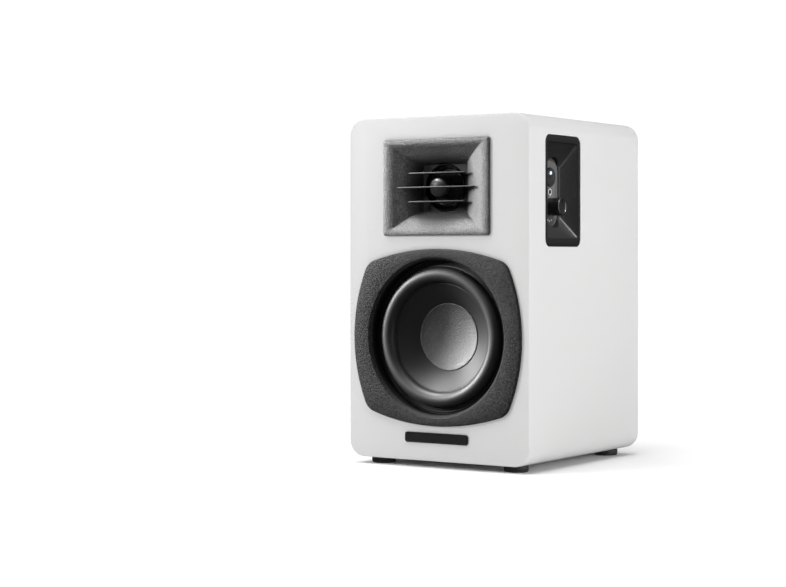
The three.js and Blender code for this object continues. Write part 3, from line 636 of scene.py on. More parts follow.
def shade_part(piece, finish, test):
    """Gives a second finish to the faces whose middle passes a test."""
    piece.data.materials.append(finish)
    number = len(piece.data.materials) - 1
    for face in piece.data.polygons:
        if test(face.center):
            face.material_index = number


def from_axis(point, centre_z):
    """How far a point is from an axis that runs front to back, in millimetres."""
    return hypot(point.x, point.z - spot(0, 0, centre_z).z) / MM


def choose_edges(piece, test):
    """In edit mode, selects only the edges whose middle and direction pass a test."""
    bpy.ops.mesh.select_mode(type="EDGE")
    bpy.ops.mesh.select_all(action="DESELECT")
    mesh = bmesh.from_edit_mesh(piece.data)
    for edge in mesh.edges:
        a, b = edge.verts[0].co, edge.verts[1].co
        edge.select_set(test((a + b) / 2, (b - a).normalized()))
    bmesh.update_edit_mesh(piece.data)


print("finishing helpers are ready")

# %% Outlines


def arc(u, v, radius, start, end, steps):
    """Points on an arc, from one angle to another in degrees."""
    angles = [radians(start + (end - start) * i / steps) for i in range(steps + 1)]
    return [(u + radius * cos(a), v + radius * sin(a)) for a in angles]


def rounded_rectangle(u, v, half_u, half_v, radius, steps=8, straight=1):
    """Corner arcs joined by straight sides, anticlockwise; straight is the pieces in each side."""
    radius = max(radius, 1e-3)
    points = []
    for i, (su, sv) in enumerate([(1, 1), (-1, 1), (-1, -1), (1, -1)]):
        centre = (u + su * (half_u - radius), v + sv * (half_v - radius))
        points += arc(*centre, radius, 90 * i, 90 * i + 90, steps)
    filled = []
    for a, b in zip(points, points[1:] + points[:1]):
        du, dv = b[0] - a[0], b[1] - a[1]
        count = straight if hypot(du, dv) > radius else 1
        filled += [(a[0] + du * k / count, a[1] + dv * k / count) for k in range(count)]
    return filled


def facing(outline, y):
    """An outline in x and z, at a depth behind the baffle."""
    return [spot(u, y, v) for u, v in outline]


def sideways(outline, x):
    """An outline in y and z, at a distance from the middle."""
    return [spot(x, u, v) for u, v in outline]


print("a rounded outline has", len(rounded_rectangle(0, 0, 20, 10, 3)), "points")

# %% [markdown]
# ## The cabinet
# The real box is wrapped board: four sides folded round a baffle, so its long edges are rounded
# at 10 mm while the front and back edges stay crisp. A cube with those four edges bevelled gives
# the box, and cutters take out the inside and the openings.

# %% Cabinet carcass
WALL, BAFFLE, CORNER = 9, 15, 10
HALF = WIDTH / 2
REBATE_HALF, REBATE_CORNER, REBATE_DEPTH = 46.8, 20, 8.6
BASKET_R, HORN_HOLE_HALF, HORN_HOLE_TALL = 42.5, 31, 24.9
PANEL_Y, PANEL_Z, PANEL_HALF_Y, PANEL_HALF_Z, PANEL_CORNER = 39.5, 156.5, 20.8, 32, 4.5

carcass = block("cabinet_shell", (-HALF, 0, 0), (HALF, DEPTH, HEIGHT))
take(carcass)
bpy.ops.object.mode_set(mode="EDIT")
choose_edges(carcass, lambda middle, way: abs(way.y) > 0.9)
bpy.ops.mesh.bevel(offset=CORNER * MM, segments=16, affect="EDGES", profile=0.5)
choose_edges(carcass, lambda middle, way: abs(way.y) < 0.1)
bpy.ops.mesh.bevel(offset=0.8 * MM, segments=4, affect="EDGES", profile=0.5)
bpy.ops.object.mode_set(mode="OBJECT")

inside = block("inside", (WALL - HALF, BAFFLE, WALL), (HALF - WALL, DEPTH + 5, HEIGHT - WALL))
rebate = moulded(
    "rebate",
    [
        facing(rounded_rectangle(0, WOOFER_Z, REBATE_HALF, REBATE_HALF, REBATE_CORNER, 10), y)
        for y in (-5, REBATE_DEPTH)
    ],
)
basket_hole = spun(
    "basket_hole",
    [(0, -5), (BASKET_R, -5), (BASKET_R, 20), (0, 20)],
    spot(0, 0, WOOFER_Z),
    steps=64,
)
horn_hole = block(
    "horn_hole",
    (-HORN_HOLE_HALF, -5, HORN_Z - HORN_HOLE_TALL),
    (HORN_HOLE_HALF, 20, HORN_Z + HORN_HOLE_TALL),
)
panel_outline = rounded_rectangle(
    PANEL_Y, PANEL_Z, PANEL_HALF_Y + 0.2, PANEL_HALF_Z + 0.2, PANEL_CORNER + 0.2, 8
)
panel_hole = moulded("panel_hole", [sideways(panel_outline, x) for x in (HALF - 15, HALF + 5)])
carve(carcass, inside, rebate, basket_hole, horn_hole, panel_hole)
soften(carcass, 0, angle=25)
settle(carcass, "cabinet", WHITE_FILM, "cabinet_white", "cabinet_carcass")

# %% Rear board
BOARD_GAP = 0.3             # between the board's edges and the walls
board = block(
    "rear_panel_board",
    (BOARD_GAP + WALL - HALF, DEPTH - WALL, WALL + BOARD_GAP),
    (HALF - WALL - BOARD_GAP, DEPTH - 0.05, HEIGHT - WALL - BOARD_GAP),
)
PORT_Z, PORT_BORE, PORT_OUTER, PORT_FLANGE, PORT_HOLE = 150, 15, 16.6, 22, 16.9
port_hole = spun(
    "port_hole",
    [(0, 110), (PORT_HOLE, 110), (PORT_HOLE, 150), (0, 150)],
    spot(0, 0, PORT_Z),
    steps=48,
)
window = block("window", (-38, 110, 26), (38, 150, 94))
carve(board, port_hole, window)
soften(board, 0.4, 2)
settle(board, "cabinet", WHITE_FILM, "cabinet_white", "rear_board")

# %% [markdown]
# ## Port tube and feet
# The bass port is a plastic tube that flares into a flange on the back. The feet are rubber pucks
# with a faint band where the mould halves met. Both are turned parts, so one half section is
# drawn for each and spun.

# %% Port tube
FLARE, PORT_FACE, PORT_BACK = 5, 137.8, 136.1
flare = [
    (PORT_BORE + FLARE * (1 - sin(radians(a))), PORT_FACE - FLARE * (1 - cos(radians(a))))
    for a in range(0, 90, 10)
]
port = spun(
    "bass_port_tube",
    [
        (PORT_OUTER, PORT_BACK),
        (PORT_FLANGE, PORT_BACK),
        (PORT_FLANGE, PORT_FACE - 0.5),
        (PORT_FLANGE - 0.5, PORT_FACE),
        *flare,
        (PORT_BORE, PORT_FACE - FLARE),
        (PORT_BORE, 79),
        (PORT_BORE + 0.8, 76),
        (PORT_OUTER, 77),
    ],
    spot(0, 0, PORT_Z),
    steps=80,
)
soften(port, 0, angle=32)
settle(port, "cabinet", PLASTIC_BLACK, "plastic_black", "port_tube")

# %% Rubber feet
FOOT_X, FOOT_INSET, FOOT_R = 45.6, 13, 7.2
FOOT_SECTION = [
    (0, -0.05),
    (FOOT_R - 0.6, -0.05),
    (FOOT_R - 0.1, -0.5),
    (FOOT_R - 0.1, -1.7),
    (FOOT_R, -1.85),
    (FOOT_R, -2.25),
    (FOOT_R - 0.1, -2.4),
    (FOOT_R - 0.15, -3.4),
    (FOOT_R - 0.75, -4),
    (FOOT_R - 3, -4),
    (FOOT_R - 3.4, -3.6),
    (0, -3.6),
]


def copied(piece, name, dx=0.0, dy=0.0, dz=0.0):
    """A copy of a piece with a mesh of its own, moved by millimetres within its mesh."""
    twin = piece.copy()
    twin.data = piece.data.copy()
    twin.name = name
    bpy.context.scene.collection.objects.link(twin)
    twin.data.transform(Matrix.Translation(Vector((dx, dy, dz)) * MM))
    return twin


FIRST_FOOT = spot(-FOOT_X, FOOT_INSET, 0)
first_foot = spun("foot_pad_front_left", FOOT_SECTION, FIRST_FOOT, (0, 0, 1), steps=48)
soften(first_foot, 0, angle=40)
foot_step = (2 * FOOT_X, DEPTH - 2 * FOOT_INSET)
for name, right, back in [
    ("front_left", 0, 0),
    ("front_right", 1, 0),
    ("rear_left", 0, 1),
    ("rear_right", 1, 1),
]:
    foot = first_foot
    if right or back:
        foot = copied(foot, f"foot_pad_{name}", right * foot_step[0], back * foot_step[1])
    settle(foot, "cabinet", FOOT_RUBBER, "foot_rubber", f"foot_{name}")

# %% [markdown]
# ## The nameplate
# A thin glossy bar sits under the woofer. It carries no lettering here, only a raised border, so
# that it still reads as a badge.

# %% Nameplate
PLATE_Z, PLATE_HALF, PLATE_TALL = 13.5, 21.5, 3.0
plate_rows = [(0, -0.15), (0, -0.75), (0.15, -0.9), (0.45, -0.9), (0.6, -0.72)]
badge = moulded(
    "name_bar",
    [
        facing(rounded_rectangle(0, PLATE_Z, PLATE_HALF - d, PLATE_TALL - d, 1.4 - d / 2, 8), y)
        for d, y in plate_rows
    ],
)
soften(badge, 0, angle=40)
settle(badge, "cabinet", GLOSS_BLACK, "trim_black", "nameplate")

# %% [markdown]
# ## The woofer's bezel
# The bezel is a bowed square: four shallow arcs that meet in rounded corners, with a round mouth.
# Each ring of vertices keeps the same directions from the middle, so the rings can change from the
# bowed outline to the circle while the faces between them stay clean.

# %% Bowed outline
SIDE_ARC, SIDE_SHIFT = 100, 43
TOP_ARC, TOP_SHIFT = 140, 88.7
BOWED_CORNER = 10


def circle_meeting(a, ra, b, rb):
    """The upper right point at distance ra from a and rb from b."""
    gap = hypot(b[0] - a[0], b[1] - a[1])
    along = (ra * ra - rb * rb + gap * gap) / (2 * gap)
    across = sqrt(ra * ra - along * along)
    ux, uz = (b[0] - a[0]) / gap, (b[1] - a[1]) / gap
    found = [
        (a[0] + ux * along - k * uz * across, a[1] + uz * along + k * ux * across)
        for k in (1, -1)
    ]
    return max(found, key=sum)


SIDE_CENTRE, TOP_CENTRE = (-SIDE_SHIFT, 0), (0, -TOP_SHIFT)
CORNER_CENTRE = circle_meeting(
    SIDE_CENTRE, SIDE_ARC - BOWED_CORNER, TOP_CENTRE, TOP_ARC - BOWED_CORNER
)


def tangent_angle(centre, radius):
    """The direction from the middle to where an arc meets the corner arc."""
    way = Vector((CORNER_CENTRE[0] - centre[0], CORNER_CENTRE[1] - centre[1])).normalized()
    return atan2(centre[1] + way.y * radius, centre[0] + way.x * radius)


LOW_TURN, HIGH_TURN = tangent_angle(SIDE_CENTRE, SIDE_ARC), tangent_angle(TOP_CENTRE, TOP_ARC)


def reach(centre, radius, angle):
    """How far a ray from the middle goes before it leaves a circle."""
    along = centre[0] * cos(angle) + centre[1] * sin(angle)
    return along + sqrt(along * along - centre[0] ** 2 - centre[1] ** 2 + radius * radius)


def bowed_radius(angle, inset):
    """How far the bowed outline is from the middle, in the direction of an angle."""
    angle = atan2(abs(sin(angle)), abs(cos(angle)))
    if angle < LOW_TURN:
        return reach(SIDE_CENTRE, SIDE_ARC - inset, angle)
    if angle > HIGH_TURN:
        return reach(TOP_CENTRE, TOP_ARC - inset, angle)
    return reach(CORNER_CENTRE, BOWED_CORNER - inset, angle)


def between(low, high, count):
    """Evenly spaced values from low up to, but without, high."""
    return [low + (high - low) * i / count for i in range(count)]


quarter = [
    *between(0, LOW_TURN, 10),
    *between(LOW_TURN, HIGH_TURN, 14),
    *between(HIGH_TURN, pi / 2, 14),
]
upper = [*quarter, pi / 2, *[pi - a for a in reversed(quarter[1:])]]
BEZEL_ANGLES = [*upper, *[pi + a for a in upper]]
print(f"corner from {degrees(LOW_TURN):.1f} to {degrees(HIGH_TURN):.1f} degrees")

# %% Woofer bezel
PROUD = 2.2                 # how far the bezel stands in front of the baffle


def bezel_ring(y, inset=None, radius=None):
    """One ring of the bezel: inset from its bowed outline, or a circle."""
    rows = []
    for angle in BEZEL_ANGLES:
        far = radius or bowed_radius(angle, inset)
        rows.append(spot(far * cos(angle), y, WOOFER_Z + far * sin(angle)))
    return rows


bezel = moulded(
    "woofer_bezel_ring",
    [
        bezel_ring(-0.05, 0),
        bezel_ring(-PROUD + 0.9, 0),
        bezel_ring(-PROUD + 0.45, 0.12),
        bezel_ring(-PROUD + 0.12, 0.45),
        bezel_ring(-PROUD, 0.9),
        bezel_ring(-PROUD, radius=47.0),
        bezel_ring(-PROUD + 0.08, radius=46.6),
        bezel_ring(-PROUD + 0.3, radius=46.3),
        bezel_ring(-PROUD + 0.62, radius=46.1),
        bezel_ring(-PROUD + 1.5, radius=45.6),
        bezel_ring(-PROUD + 1.9, radius=45.3),
        bezel_ring(-PROUD + 2.4, radius=45.1),
        bezel_ring(0.8, radius=45),
        bezel_ring(5.9, radius=45),
        bezel_ring(5.9, radius=46.4),
        bezel_ring(-0.05, radius=46.4),
    ],
    closed=True,
)
soften(bezel, 0, angle=28)
settle(bezel, "cabinet", BEZEL_GRAIN, "bezel_charcoal", "woofer_bezel")
mouth_y = spot(0, -0.5, 0).y
# Painted shade: the bezel's inner mouth wall is painted near-black where shade falls inside it.
shade_part(bezel, MATT_BLACK_AND_PAINTED_SHADE, lambda p: p.y > mouth_y and from_axis(p, WOOFER_Z) < 46.3)

# %% [markdown]
# ## The woofer's moving parts
# A rubber half roll joins the cone to the frame and stretches as the cone moves. The cone is coated
# paper pulp, and its dust cap is a dished disc of rougher pulp glued on with a small raised edge.
# The surround and the spider keep the places they are modelled in; they are tied to no body and do
# not follow the cone.

# %% Surround and spider
ROLL_R, ROLL_SIZE, ROLL_BASE = 36.5, 4.6, 5.3


def stretched(piece, centre_z, still, moving, finish, node):
    """Gives a ring its finish and hides its CAD node; still and moving, the radii that stay put and
    follow in the real part, are only printed.
    """
    piece.data.materials.clear()
    piece.data.materials.append(finish)
    spot(0, 0, centre_z)
    spot(0, 10, centre_z)
    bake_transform(piece)
    middle = spot(0, 0, centre_z)
    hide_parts(node)
    print(f"{piece.name}: stretches between {still} and {moving} mm")


def roll_section(middle, size, base, thickness, foot_out, foot_in, fillet=0.5, steps=22):
    """A half roll between two flat feet, with small fillets, as a closed section."""
    over = [
        (middle + size * cos(radians(a)), base - size * sin(radians(a)))
        for a in [8 + 164 * i / steps for i in range(steps + 1)]
    ]
    inner = size - thickness
    under = [
        (middle + inner * cos(radians(a)), base + 0.1 - inner * sin(radians(a)))
        for a in [180 - 180 * i / steps for i in range(steps + 1)]
    ]
    lift = base - fillet * 0.28
    right = [(middle + size + fillet, base), (middle + size + fillet * 0.3, lift)]
    left = [(middle - size - fillet * 0.3, lift), (middle - size - fillet, base)]
    back = base + thickness
    return [
        (foot_out, base),
        *right,
        *over,
        *left,
        (foot_in, base),
        (foot_in, back),
        (middle - inner - 0.1, back),
        *under,
        (middle + inner + 0.1, back),
        (foot_out, back),
    ]


surround_section = roll_section(ROLL_R, ROLL_SIZE, ROLL_BASE, 0.7, 44.6, 31.35)
# A low bead on the outer foot: more points after the first one.
surround_section[1:1] = [(44.0, 5.3), (43.8, 5.08), (43.4, 5.0), (43.0, 5.08), (42.8, 5.3)]
surround = spun("woofer_roll_surround", surround_section, spot(0, 0, WOOFER_Z), steps=144)
soften(surround, 0, angle=42)
stretched(
    surround,
    WOOFER_Z,
    41.0,
    32.0,
    SURROUND_RUBBER,
    "woofer_surround",
)
# Painted shade: the surround's outer foot, down in the channel beside the bezel, is painted
# near-black.
shade_part(surround, MATT_BLACK_AND_PAINTED_SHADE, lambda p: from_axis(p, WOOFER_Z) > 42.0)

ripples = [(30.5 - 0.25 * i, 21.5 + 0.85 * sin(2 * pi * i / 13)) for i in range(0, 80)]
spider_section = [*ripples, *[(r, y + 0.5) for r, y in reversed(ripples)]]
spider = spun("woofer_spider_ring", spider_section, spot(0, 0, WOOFER_Z), steps=96)
soften(spider, 0, angle=60)
stretched(
    spider,
    WOOFER_Z,
    30.0,
    11.2,
    SPIDER_CLOTH,
    "woofer_spider",
)

# %% Cone
CONE_RIM, CONE_NECK, CONE_RIM_Y, CONE_SLOPE = 31.7, 10.5, 5.55, 0.692


def cone_y(radius):
    """The depth of the cone's front at a radius."""
    return CONE_RIM_Y + 0.25 + (CONE_RIM - 0.9 - radius) * CONE_SLOPE


cone_front = [CONE_RIM - 0.9 - i * 1.15 for i in range(18)]
cone = spun(
    "woofer_paper_cone",
    [
        (CONE_RIM, CONE_RIM_Y + 0.35),
        (CONE_RIM - 0.15, CONE_RIM_Y),
        (CONE_RIM - 0.5, CONE_RIM_Y - 0.05),
        *[(r, cone_y(r)) for r in cone_front],
        (CONE_NECK, cone_y(CONE_NECK)),
        (CONE_NECK, cone_y(CONE_NECK) + 1.0),
        *[(r, cone_y(r) + 1.0) for r in reversed(cone_front)],
        (CONE_RIM, CONE_RIM_Y + 1.2),
    ],
    spot(0, 0, WOOFER_Z),
    steps=144,
)
soften(cone, 0, angle=35)
settle(cone, "woofer_diaphragm", CONE_PULP, "cone_paper", "woofer_cone")

# %% Dust cap
CAP_R, CAP_EDGE, CAP_DISH = 19.4, 13.1, 4.6
cap_sphere = (CAP_R**2 + CAP_DISH**2) / (2 * CAP_DISH)


def cap_y(radius):
    """The depth of the dished dust cap at a radius: deepest in the middle."""
    return CAP_EDGE + CAP_DISH - cap_sphere + sqrt(cap_sphere**2 - radius**2)


cap_front = [CAP_R * (1 - i / 16) for i in range(1, 17)]
dust_cap = spun(
    "woofer_dust_cap_disc",
    [
        (CAP_R + 0.3, cone_y(CAP_R + 0.3) + 0.25),
        (CAP_R + 0.3, CAP_EDGE + 0.12),
        (CAP_R + 0.18, CAP_EDGE - 0.1),
        (CAP_R - 0.1, CAP_EDGE - 0.16),
        (CAP_R - 0.4, CAP_EDGE - 0.02),
        *[(r, cap_y(r)) for r in cap_front],
        *[(r, cap_y(r) + 0.5) for r in reversed(cap_front)],
        (CAP_R - 0.4, cone_y(CAP_R - 0.4) + 0.25),
    ],
    spot(0, 0, WOOFER_Z),
    steps=128,
)
soften(dust_cap, 0, angle=50)
settle(dust_cap, "woofer_diaphragm", CAP_PULP, "dust_cap_paper", "woofer_dust_cap")

# %% [markdown]
# ## The tweeter's horn
# The horn is a plate with a square funnel: four walls that meet in crisp creases and end at a round
# throat. Rings of a rounded rectangle are extruded from the back round to the bottom of the funnel,
# and a plain cylinder then bores the throat, so its edge rises in an arc on each wall.

# %% Horn
HORN_HALF, HORN_TALL, THROAT = 36.25, 28.1, 14


def horn_ring(half_x, half_z, y, corner=0.5):
    return facing(rounded_rectangle(0, HORN_Z, half_x, half_z, corner, 5, 12), y)


horn = moulded(
    "tweeter_horn_plate",
    [
        horn_ring(19, 18, 12.9, 0.8),
        horn_ring(19.4, 18.2, 9.6, 0.8),
        horn_ring(29.0, 23.4, 1.0, 0.8),
        horn_ring(30.2, 24.3, -0.05, 0.8),
        horn_ring(HORN_HALF, HORN_TALL, -0.05, 1.6),
        horn_ring(HORN_HALF, HORN_TALL, -1.45, 1.6),
        horn_ring(HORN_HALF - 0.16, HORN_TALL - 0.16, -1.83, 1.5),
        horn_ring(HORN_HALF - 0.55, HORN_TALL - 0.55, -2, 1.2),
        horn_ring(33.6, 26.2, -2, 0.9),
        horn_ring(32.6, 25.5, -1.95, 0.8),
        horn_ring(31.4, 24.7, -1.76, 0.7),
        horn_ring(30.1, 23.85, -1.4, 0.6),
        horn_ring(28.7, 22.95, -0.82, 0.5),
        horn_ring(27.2, 21.9, -0.02, 0.45),
        horn_ring(25.0, 20.2, 0.95, 0.4),
        horn_ring(22.6, 18.4, 2.1, 0.4),
        horn_ring(20.3, 16.8, 3.6, 0.4),
        horn_ring(18.2, 15.4, 5.5, 0.4),
        horn_ring(16.4, 14.3, 7.6, 0.4),
        horn_ring(15.2, 13.6, 9.4, 0.4),
    ],
)
bore = spun("throat", [(0, -5), (THROAT, -5), (THROAT, 15), (0, 15)], spot(0, 0, HORN_Z), steps=96)
carve(horn, bore)
soften(horn, 0, angle=26)
settle(horn, "cabinet", HORN_GRAIN_AND_PAINTED_SHADE, "bezel_charcoal", "tweeter_horn")
# Painted shade: the throat's bore is painted near-black where shade falls deep in the horn.
shade_part(horn, MATT_BLACK_AND_PAINTED_SHADE, lambda p: from_axis(p, HORN_Z) < THROAT + 0.1)

# %% [markdown]
# ## Phase plug and vanes
# Three thin vanes spread the treble sideways. They grow from a ring in the throat and carry a small
# nose in front of the dome. Each vane is a thin wedge with a rounded front edge that catches light.

# %% Phase plug
VANE_STEP, VANE_THICK, VANE_BACK = 8.3, 0.9, 9.6
plug = spun(
    "tweeter_phase_plug",
    [
        (12.9, 8.8),
        (13.1, 8.6),
        (13.6, 8.6),
        (13.7, 8.8),
        (13.7, 12),
        (12.9, 12),
    ],
    spot(0, 0, HORN_Z),
    steps=72,
)
soften(plug, 0, angle=40)


def vane(name, half_front, half_back, front, z):
    """A flat wedge, wide in front and narrow at the throat, with rounded front corners."""
    tip = 0.8
    outline = [
        (-half_back, VANE_BACK),
        (-half_front, front + tip),
        (-half_front + tip * 0.4, front + tip * 0.25),
        (-half_front + tip * 1.4, front),
        (half_front - tip * 1.4, front),
        (half_front - tip * 0.4, front + tip * 0.25),
        (half_front, front + tip),
        (half_back, VANE_BACK),
    ]
    half = VANE_THICK / 2
    piece = moulded(name, [[spot(u, y, z + k * half) for u, y in outline] for k in (-1, 1)])
    soften(piece, 0.28, 3)
    return piece


vanes = [
    vane("tweeter_vane_middle", 26.5, 12.6, -1.9, HORN_Z),
    vane("tweeter_vane_upper", 19.6, 10.3, -0.5, HORN_Z + VANE_STEP),
    vane("tweeter_vane_lower", 19.6, 10.3, -0.5, HORN_Z - VANE_STEP),
]
for made in vanes:
    settle(made, "cabinet", VANE_BLACK, "plastic_black")

NOSE_R, NOSE_LONG, NOSE_BASE = 5.9, 4.0, 2.6
nose_curve = [
    (NOSE_R * sin(radians(a)), NOSE_BASE - NOSE_LONG * cos(radians(a)))
    for a in range(10, 91, 8)
]
nose = spun(
    "tweeter_nose",
    [(0, NOSE_BASE - NOSE_LONG), *nose_curve, (6.0, 4.0), (6.1, 7.6), (5.2, 8.4), (0, 8.4)],
    spot(0, 0, HORN_Z),
    steps=64,
)
soften(nose, 0, angle=40)
settle(nose, "cabinet", NOSE_SATIN, "plastic_black")
# Painted shade: the phase plug ring, deep in the throat, is painted near-black to stand for the
# shade there.
settle(plug, "cabinet", MATT_BLACK_AND_PAINTED_SHADE, "plastic_black", "phase_plug")

# %% Dome and its surround
DOME_R, DOME_TOP, DOME_BASE = 10, 10.1, 13.3
dome_rise = DOME_BASE - DOME_TOP
dome_sphere = (DOME_R**2 + dome_rise**2) / (2 * dome_rise)


def dome_y(radius):
    """The depth of the dome's front at a radius: nearest the listener in the middle."""
    return DOME_TOP + dome_sphere - sqrt(dome_sphere**2 - radius**2)


dome_rows = [DOME_R * (1 - i / 12) for i in range(13)]
dome = spun(
    "tweeter_silk_dome",
    [*[(r, dome_y(r)) for r in dome_rows], *[(r, dome_y(r) + 0.4) for r in reversed(dome_rows)]],
    spot(0, 0, HORN_Z),
    steps=72,
)
soften(dome, 0, angle=60)
settle(dome, "tweeter_diaphragm", DOME_SILK, "dome_silk", "tweeter_dome")

dome_ring = spun(
    "tweeter_roll_surround",
    roll_section(12.6, 1.3, 13.5, 0.35, 15.6, 10.15, 0.2, 12),
    spot(0, 0, HORN_Z),
    steps=72,
)
soften(dome_ring, 0, angle=60)
stretched(
    dome_ring,
    HORN_Z,
    13.9,
    10.6,
    SURROUND_RUBBER,
    "tweeter_surround",
)

# %% [markdown]
# ## The control recess
# The controls sit at the bottom of a tapered well in the cabinet's right side. The well is moulded
# from rings, like the horn, but sideways. Its inner corners have a small radius, which catches a
# line of light. A stadium-shaped pocket in its floor holds the grey fascia.

# %% Control bezel
FACE_X, FLOOR_X, POCKET_X = 61.4, 52.8, 51.4
WELL_Z = 156.75


def well_ring(half_y, half_z, x, corner, z=WELL_Z):
    return sideways(rounded_rectangle(PANEL_Y, z, half_y, half_z, corner, 7, 8), x)


def outer_ring(inset, x):
    half_y, half_z, corner = PANEL_HALF_Y - inset, PANEL_HALF_Z - inset, PANEL_CORNER - inset
    return well_ring(half_y, half_z, x, corner, PANEL_Z)


well = moulded(
    "control_well",
    [
        outer_ring(0, POCKET_X),
        outer_ring(0, FACE_X - 0.4),
        outer_ring(0.12, FACE_X - 0.12),
        outer_ring(0.4, FACE_X),
        well_ring(18.45, 28.1, FACE_X, 2.2),
        well_ring(18.1, 27.7, FACE_X - 0.1, 2.0),
        well_ring(17.85, 27.35, FACE_X - 0.45, 1.8),
        well_ring(17.6, 26.9, FACE_X - 1.1, 2.2),
        well_ring(11.6, 15.4, FLOOR_X + 0.1, 1.3, 156.25),
        well_ring(11.3, 15.1, FLOOR_X, 0.6, 156.25),
    ],
)
FASCIA_Y, FASCIA_R, FASCIA_LOW, FASCIA_HIGH = 39.5, 9.5, 135.3, 176.6


def stadium(shrink, x):
    """The fascia's outline: straight sides between two half circles."""
    radius = FASCIA_R - shrink
    rounds = arc(FASCIA_Y, FASCIA_HIGH - FASCIA_R, radius, 0, 180, 32)
    rounds += arc(FASCIA_Y, FASCIA_LOW + FASCIA_R, radius, 180, 360, 32)
    return sideways(rounds, x)


carve(well, moulded("fascia_pocket", [stadium(0, x) for x in (POCKET_X - 1, FACE_X + 2)]))
soften(well, 0, angle=24)
settle(well, "cabinet", RECESS_GRAIN, "bezel_charcoal", "control_bezel")
RIM_WIDTH = 0.7
shade_part(well, MATT_BLACK_AND_PAINTED_SHADE, lambda p: p.x > (FACE_X - RIM_WIDTH) * MM)

# %% Fascia
BUTTON_Z, BUTTON_R, KNOB_Z, KNOB_R, RING_Z = 164.8, 5.3, 147.6, 5.25, 156.2


def turned_sideways(name, section, z, y=FASCIA_Y, steps=64):
    """A part turned on an axis that points out of the cabinet's side."""
    return spun(name, section, spot(0, y, z), (1, 0, 0), steps)


fascia = moulded(
    "control_fascia_plate",
    [
        stadium(0.3, POCKET_X),
        stadium(0.3, FLOOR_X - 0.3),
        stadium(0.37, FLOOR_X - 0.16),
        stadium(0.5, FLOOR_X - 0.1),
    ],
)
for hole_radius, hole_z in [(BUTTON_R + 0.3, BUTTON_Z), (4, KNOB_Z), (1.5, RING_Z)]:
    cutter = turned_sideways(
        "hole", [(0, 45), (hole_radius, 45), (hole_radius, 60), (0, 60)], hole_z, steps=56
    )
    carve(fascia, cutter)
soften(fascia, 0.12, 2, 40)
settle(fascia, "cabinet", FASCIA_SATIN, "fascia_grey", "control_fascia")

# %% Button, light, ring and printed marks
KEY_FACE = FLOOR_X + 0.9
button = turned_sideways(
    "select_key_cap",
    [
        (0, FLOOR_X - 2.5),
        (6.3, FLOOR_X - 2.5),
        (6.3, FLOOR_X - 1.9),
        (BUTTON_R, FLOOR_X - 1.8),
        (BUTTON_R, KEY_FACE - 0.4),
        (BUTTON_R - 0.12, KEY_FACE - 0.12),
        (BUTTON_R - 0.4, KEY_FACE),
        (BUTTON_R - 0.8, KEY_FACE - 0.04),
        (3.2, KEY_FACE - 0.32),
        (1.6, KEY_FACE - 0.52),
        (0, KEY_FACE - 0.58),
    ],
    BUTTON_Z,
)
LED_Z = 167.2
drill = [(0, FLOOR_X - 4), (1.15, FLOOR_X - 4), (1.15, FLOOR_X + 5), (0, FLOOR_X + 5)]
carve(button, turned_sideways("hole", drill, LED_Z, steps=32))
soften(button, 0, angle=35)
settle(button, "select_key", BUTTON_SATIN, "button_dark", "select_button")

led = turned_sideways(
    "status_light_lens",
    [
        (0, FLOOR_X - 1.1),
        (0.95, FLOOR_X - 1.1),
        (0.95, KEY_FACE - 0.25),
        (0.8, KEY_FACE - 0.05),
        (0.45, KEY_FACE + 0.1),
        (0, KEY_FACE + 0.15),
    ],
    LED_Z,
    steps=32,
)
soften(led, 0, angle=50)
settle(led, "select_key", STATUS_GLOW, "led_white", "status_led")

lens = turned_sideways(
    "indicator_lens_disc",
    [
        (0, FLOOR_X - 1.2),
        (1.4, FLOOR_X - 1.2),
        (1.4, FLOOR_X - 0.15),
        (1.3, FLOOR_X - 0.05),
        (0, FLOOR_X),
    ],
    RING_Z,
    steps=40,
)
soften(lens, 0, angle=40)
settle(lens, "cabinet", SMOKED_LENS, "lens_dark", "indicator_lens")

PRINT_BACK, PRINT_FACE = FLOOR_X - 0.2, FLOOR_X - 0.05
ring = turned_sideways(
    "indicator_ring",
    [
        (1.3, PRINT_BACK),
        (1.3, FLOOR_X - 0.04),
        (1.4, FLOOR_X + 0.02),
        (1.9, FLOOR_X + 0.02),
        (2.0, FLOOR_X - 0.06),
        (2.0, PRINT_BACK),
    ],
    RING_Z,
    steps=40,
)
soften(ring, 0, angle=60)
settle(ring, "cabinet", MARK_WHITE, "fascia_grey")

DOT_SECTION = [
    (0, PRINT_BACK),
    (0.42, PRINT_BACK),
    (0.42, PRINT_FACE - 0.03),
    (0.36, PRINT_FACE),
    (0, PRINT_FACE),
]
for i, (y, z) in enumerate([(37.1, 139.9), (39.1, 139.2), (41.5, 139.8)]):
    dot = turned_sideways(f"volume_dot_{i}", DOT_SECTION, z, y, 20)
    soften(dot, 0, angle=60)
    settle(dot, "cabinet", MARK_WHITE, "fascia_grey")
tick_line = [(38.5, 153.0), (39.0, 152.9), (40.7, 153.9), (40.3, 154.3)]
tick = moulded("volume_tick", [sideways(tick_line, PRINT_BACK), sideways(tick_line, PRINT_FACE)])
soften(tick, 0.04, 1)
settle(tick, "cabinet", MARK_WHITE, "fascia_grey")

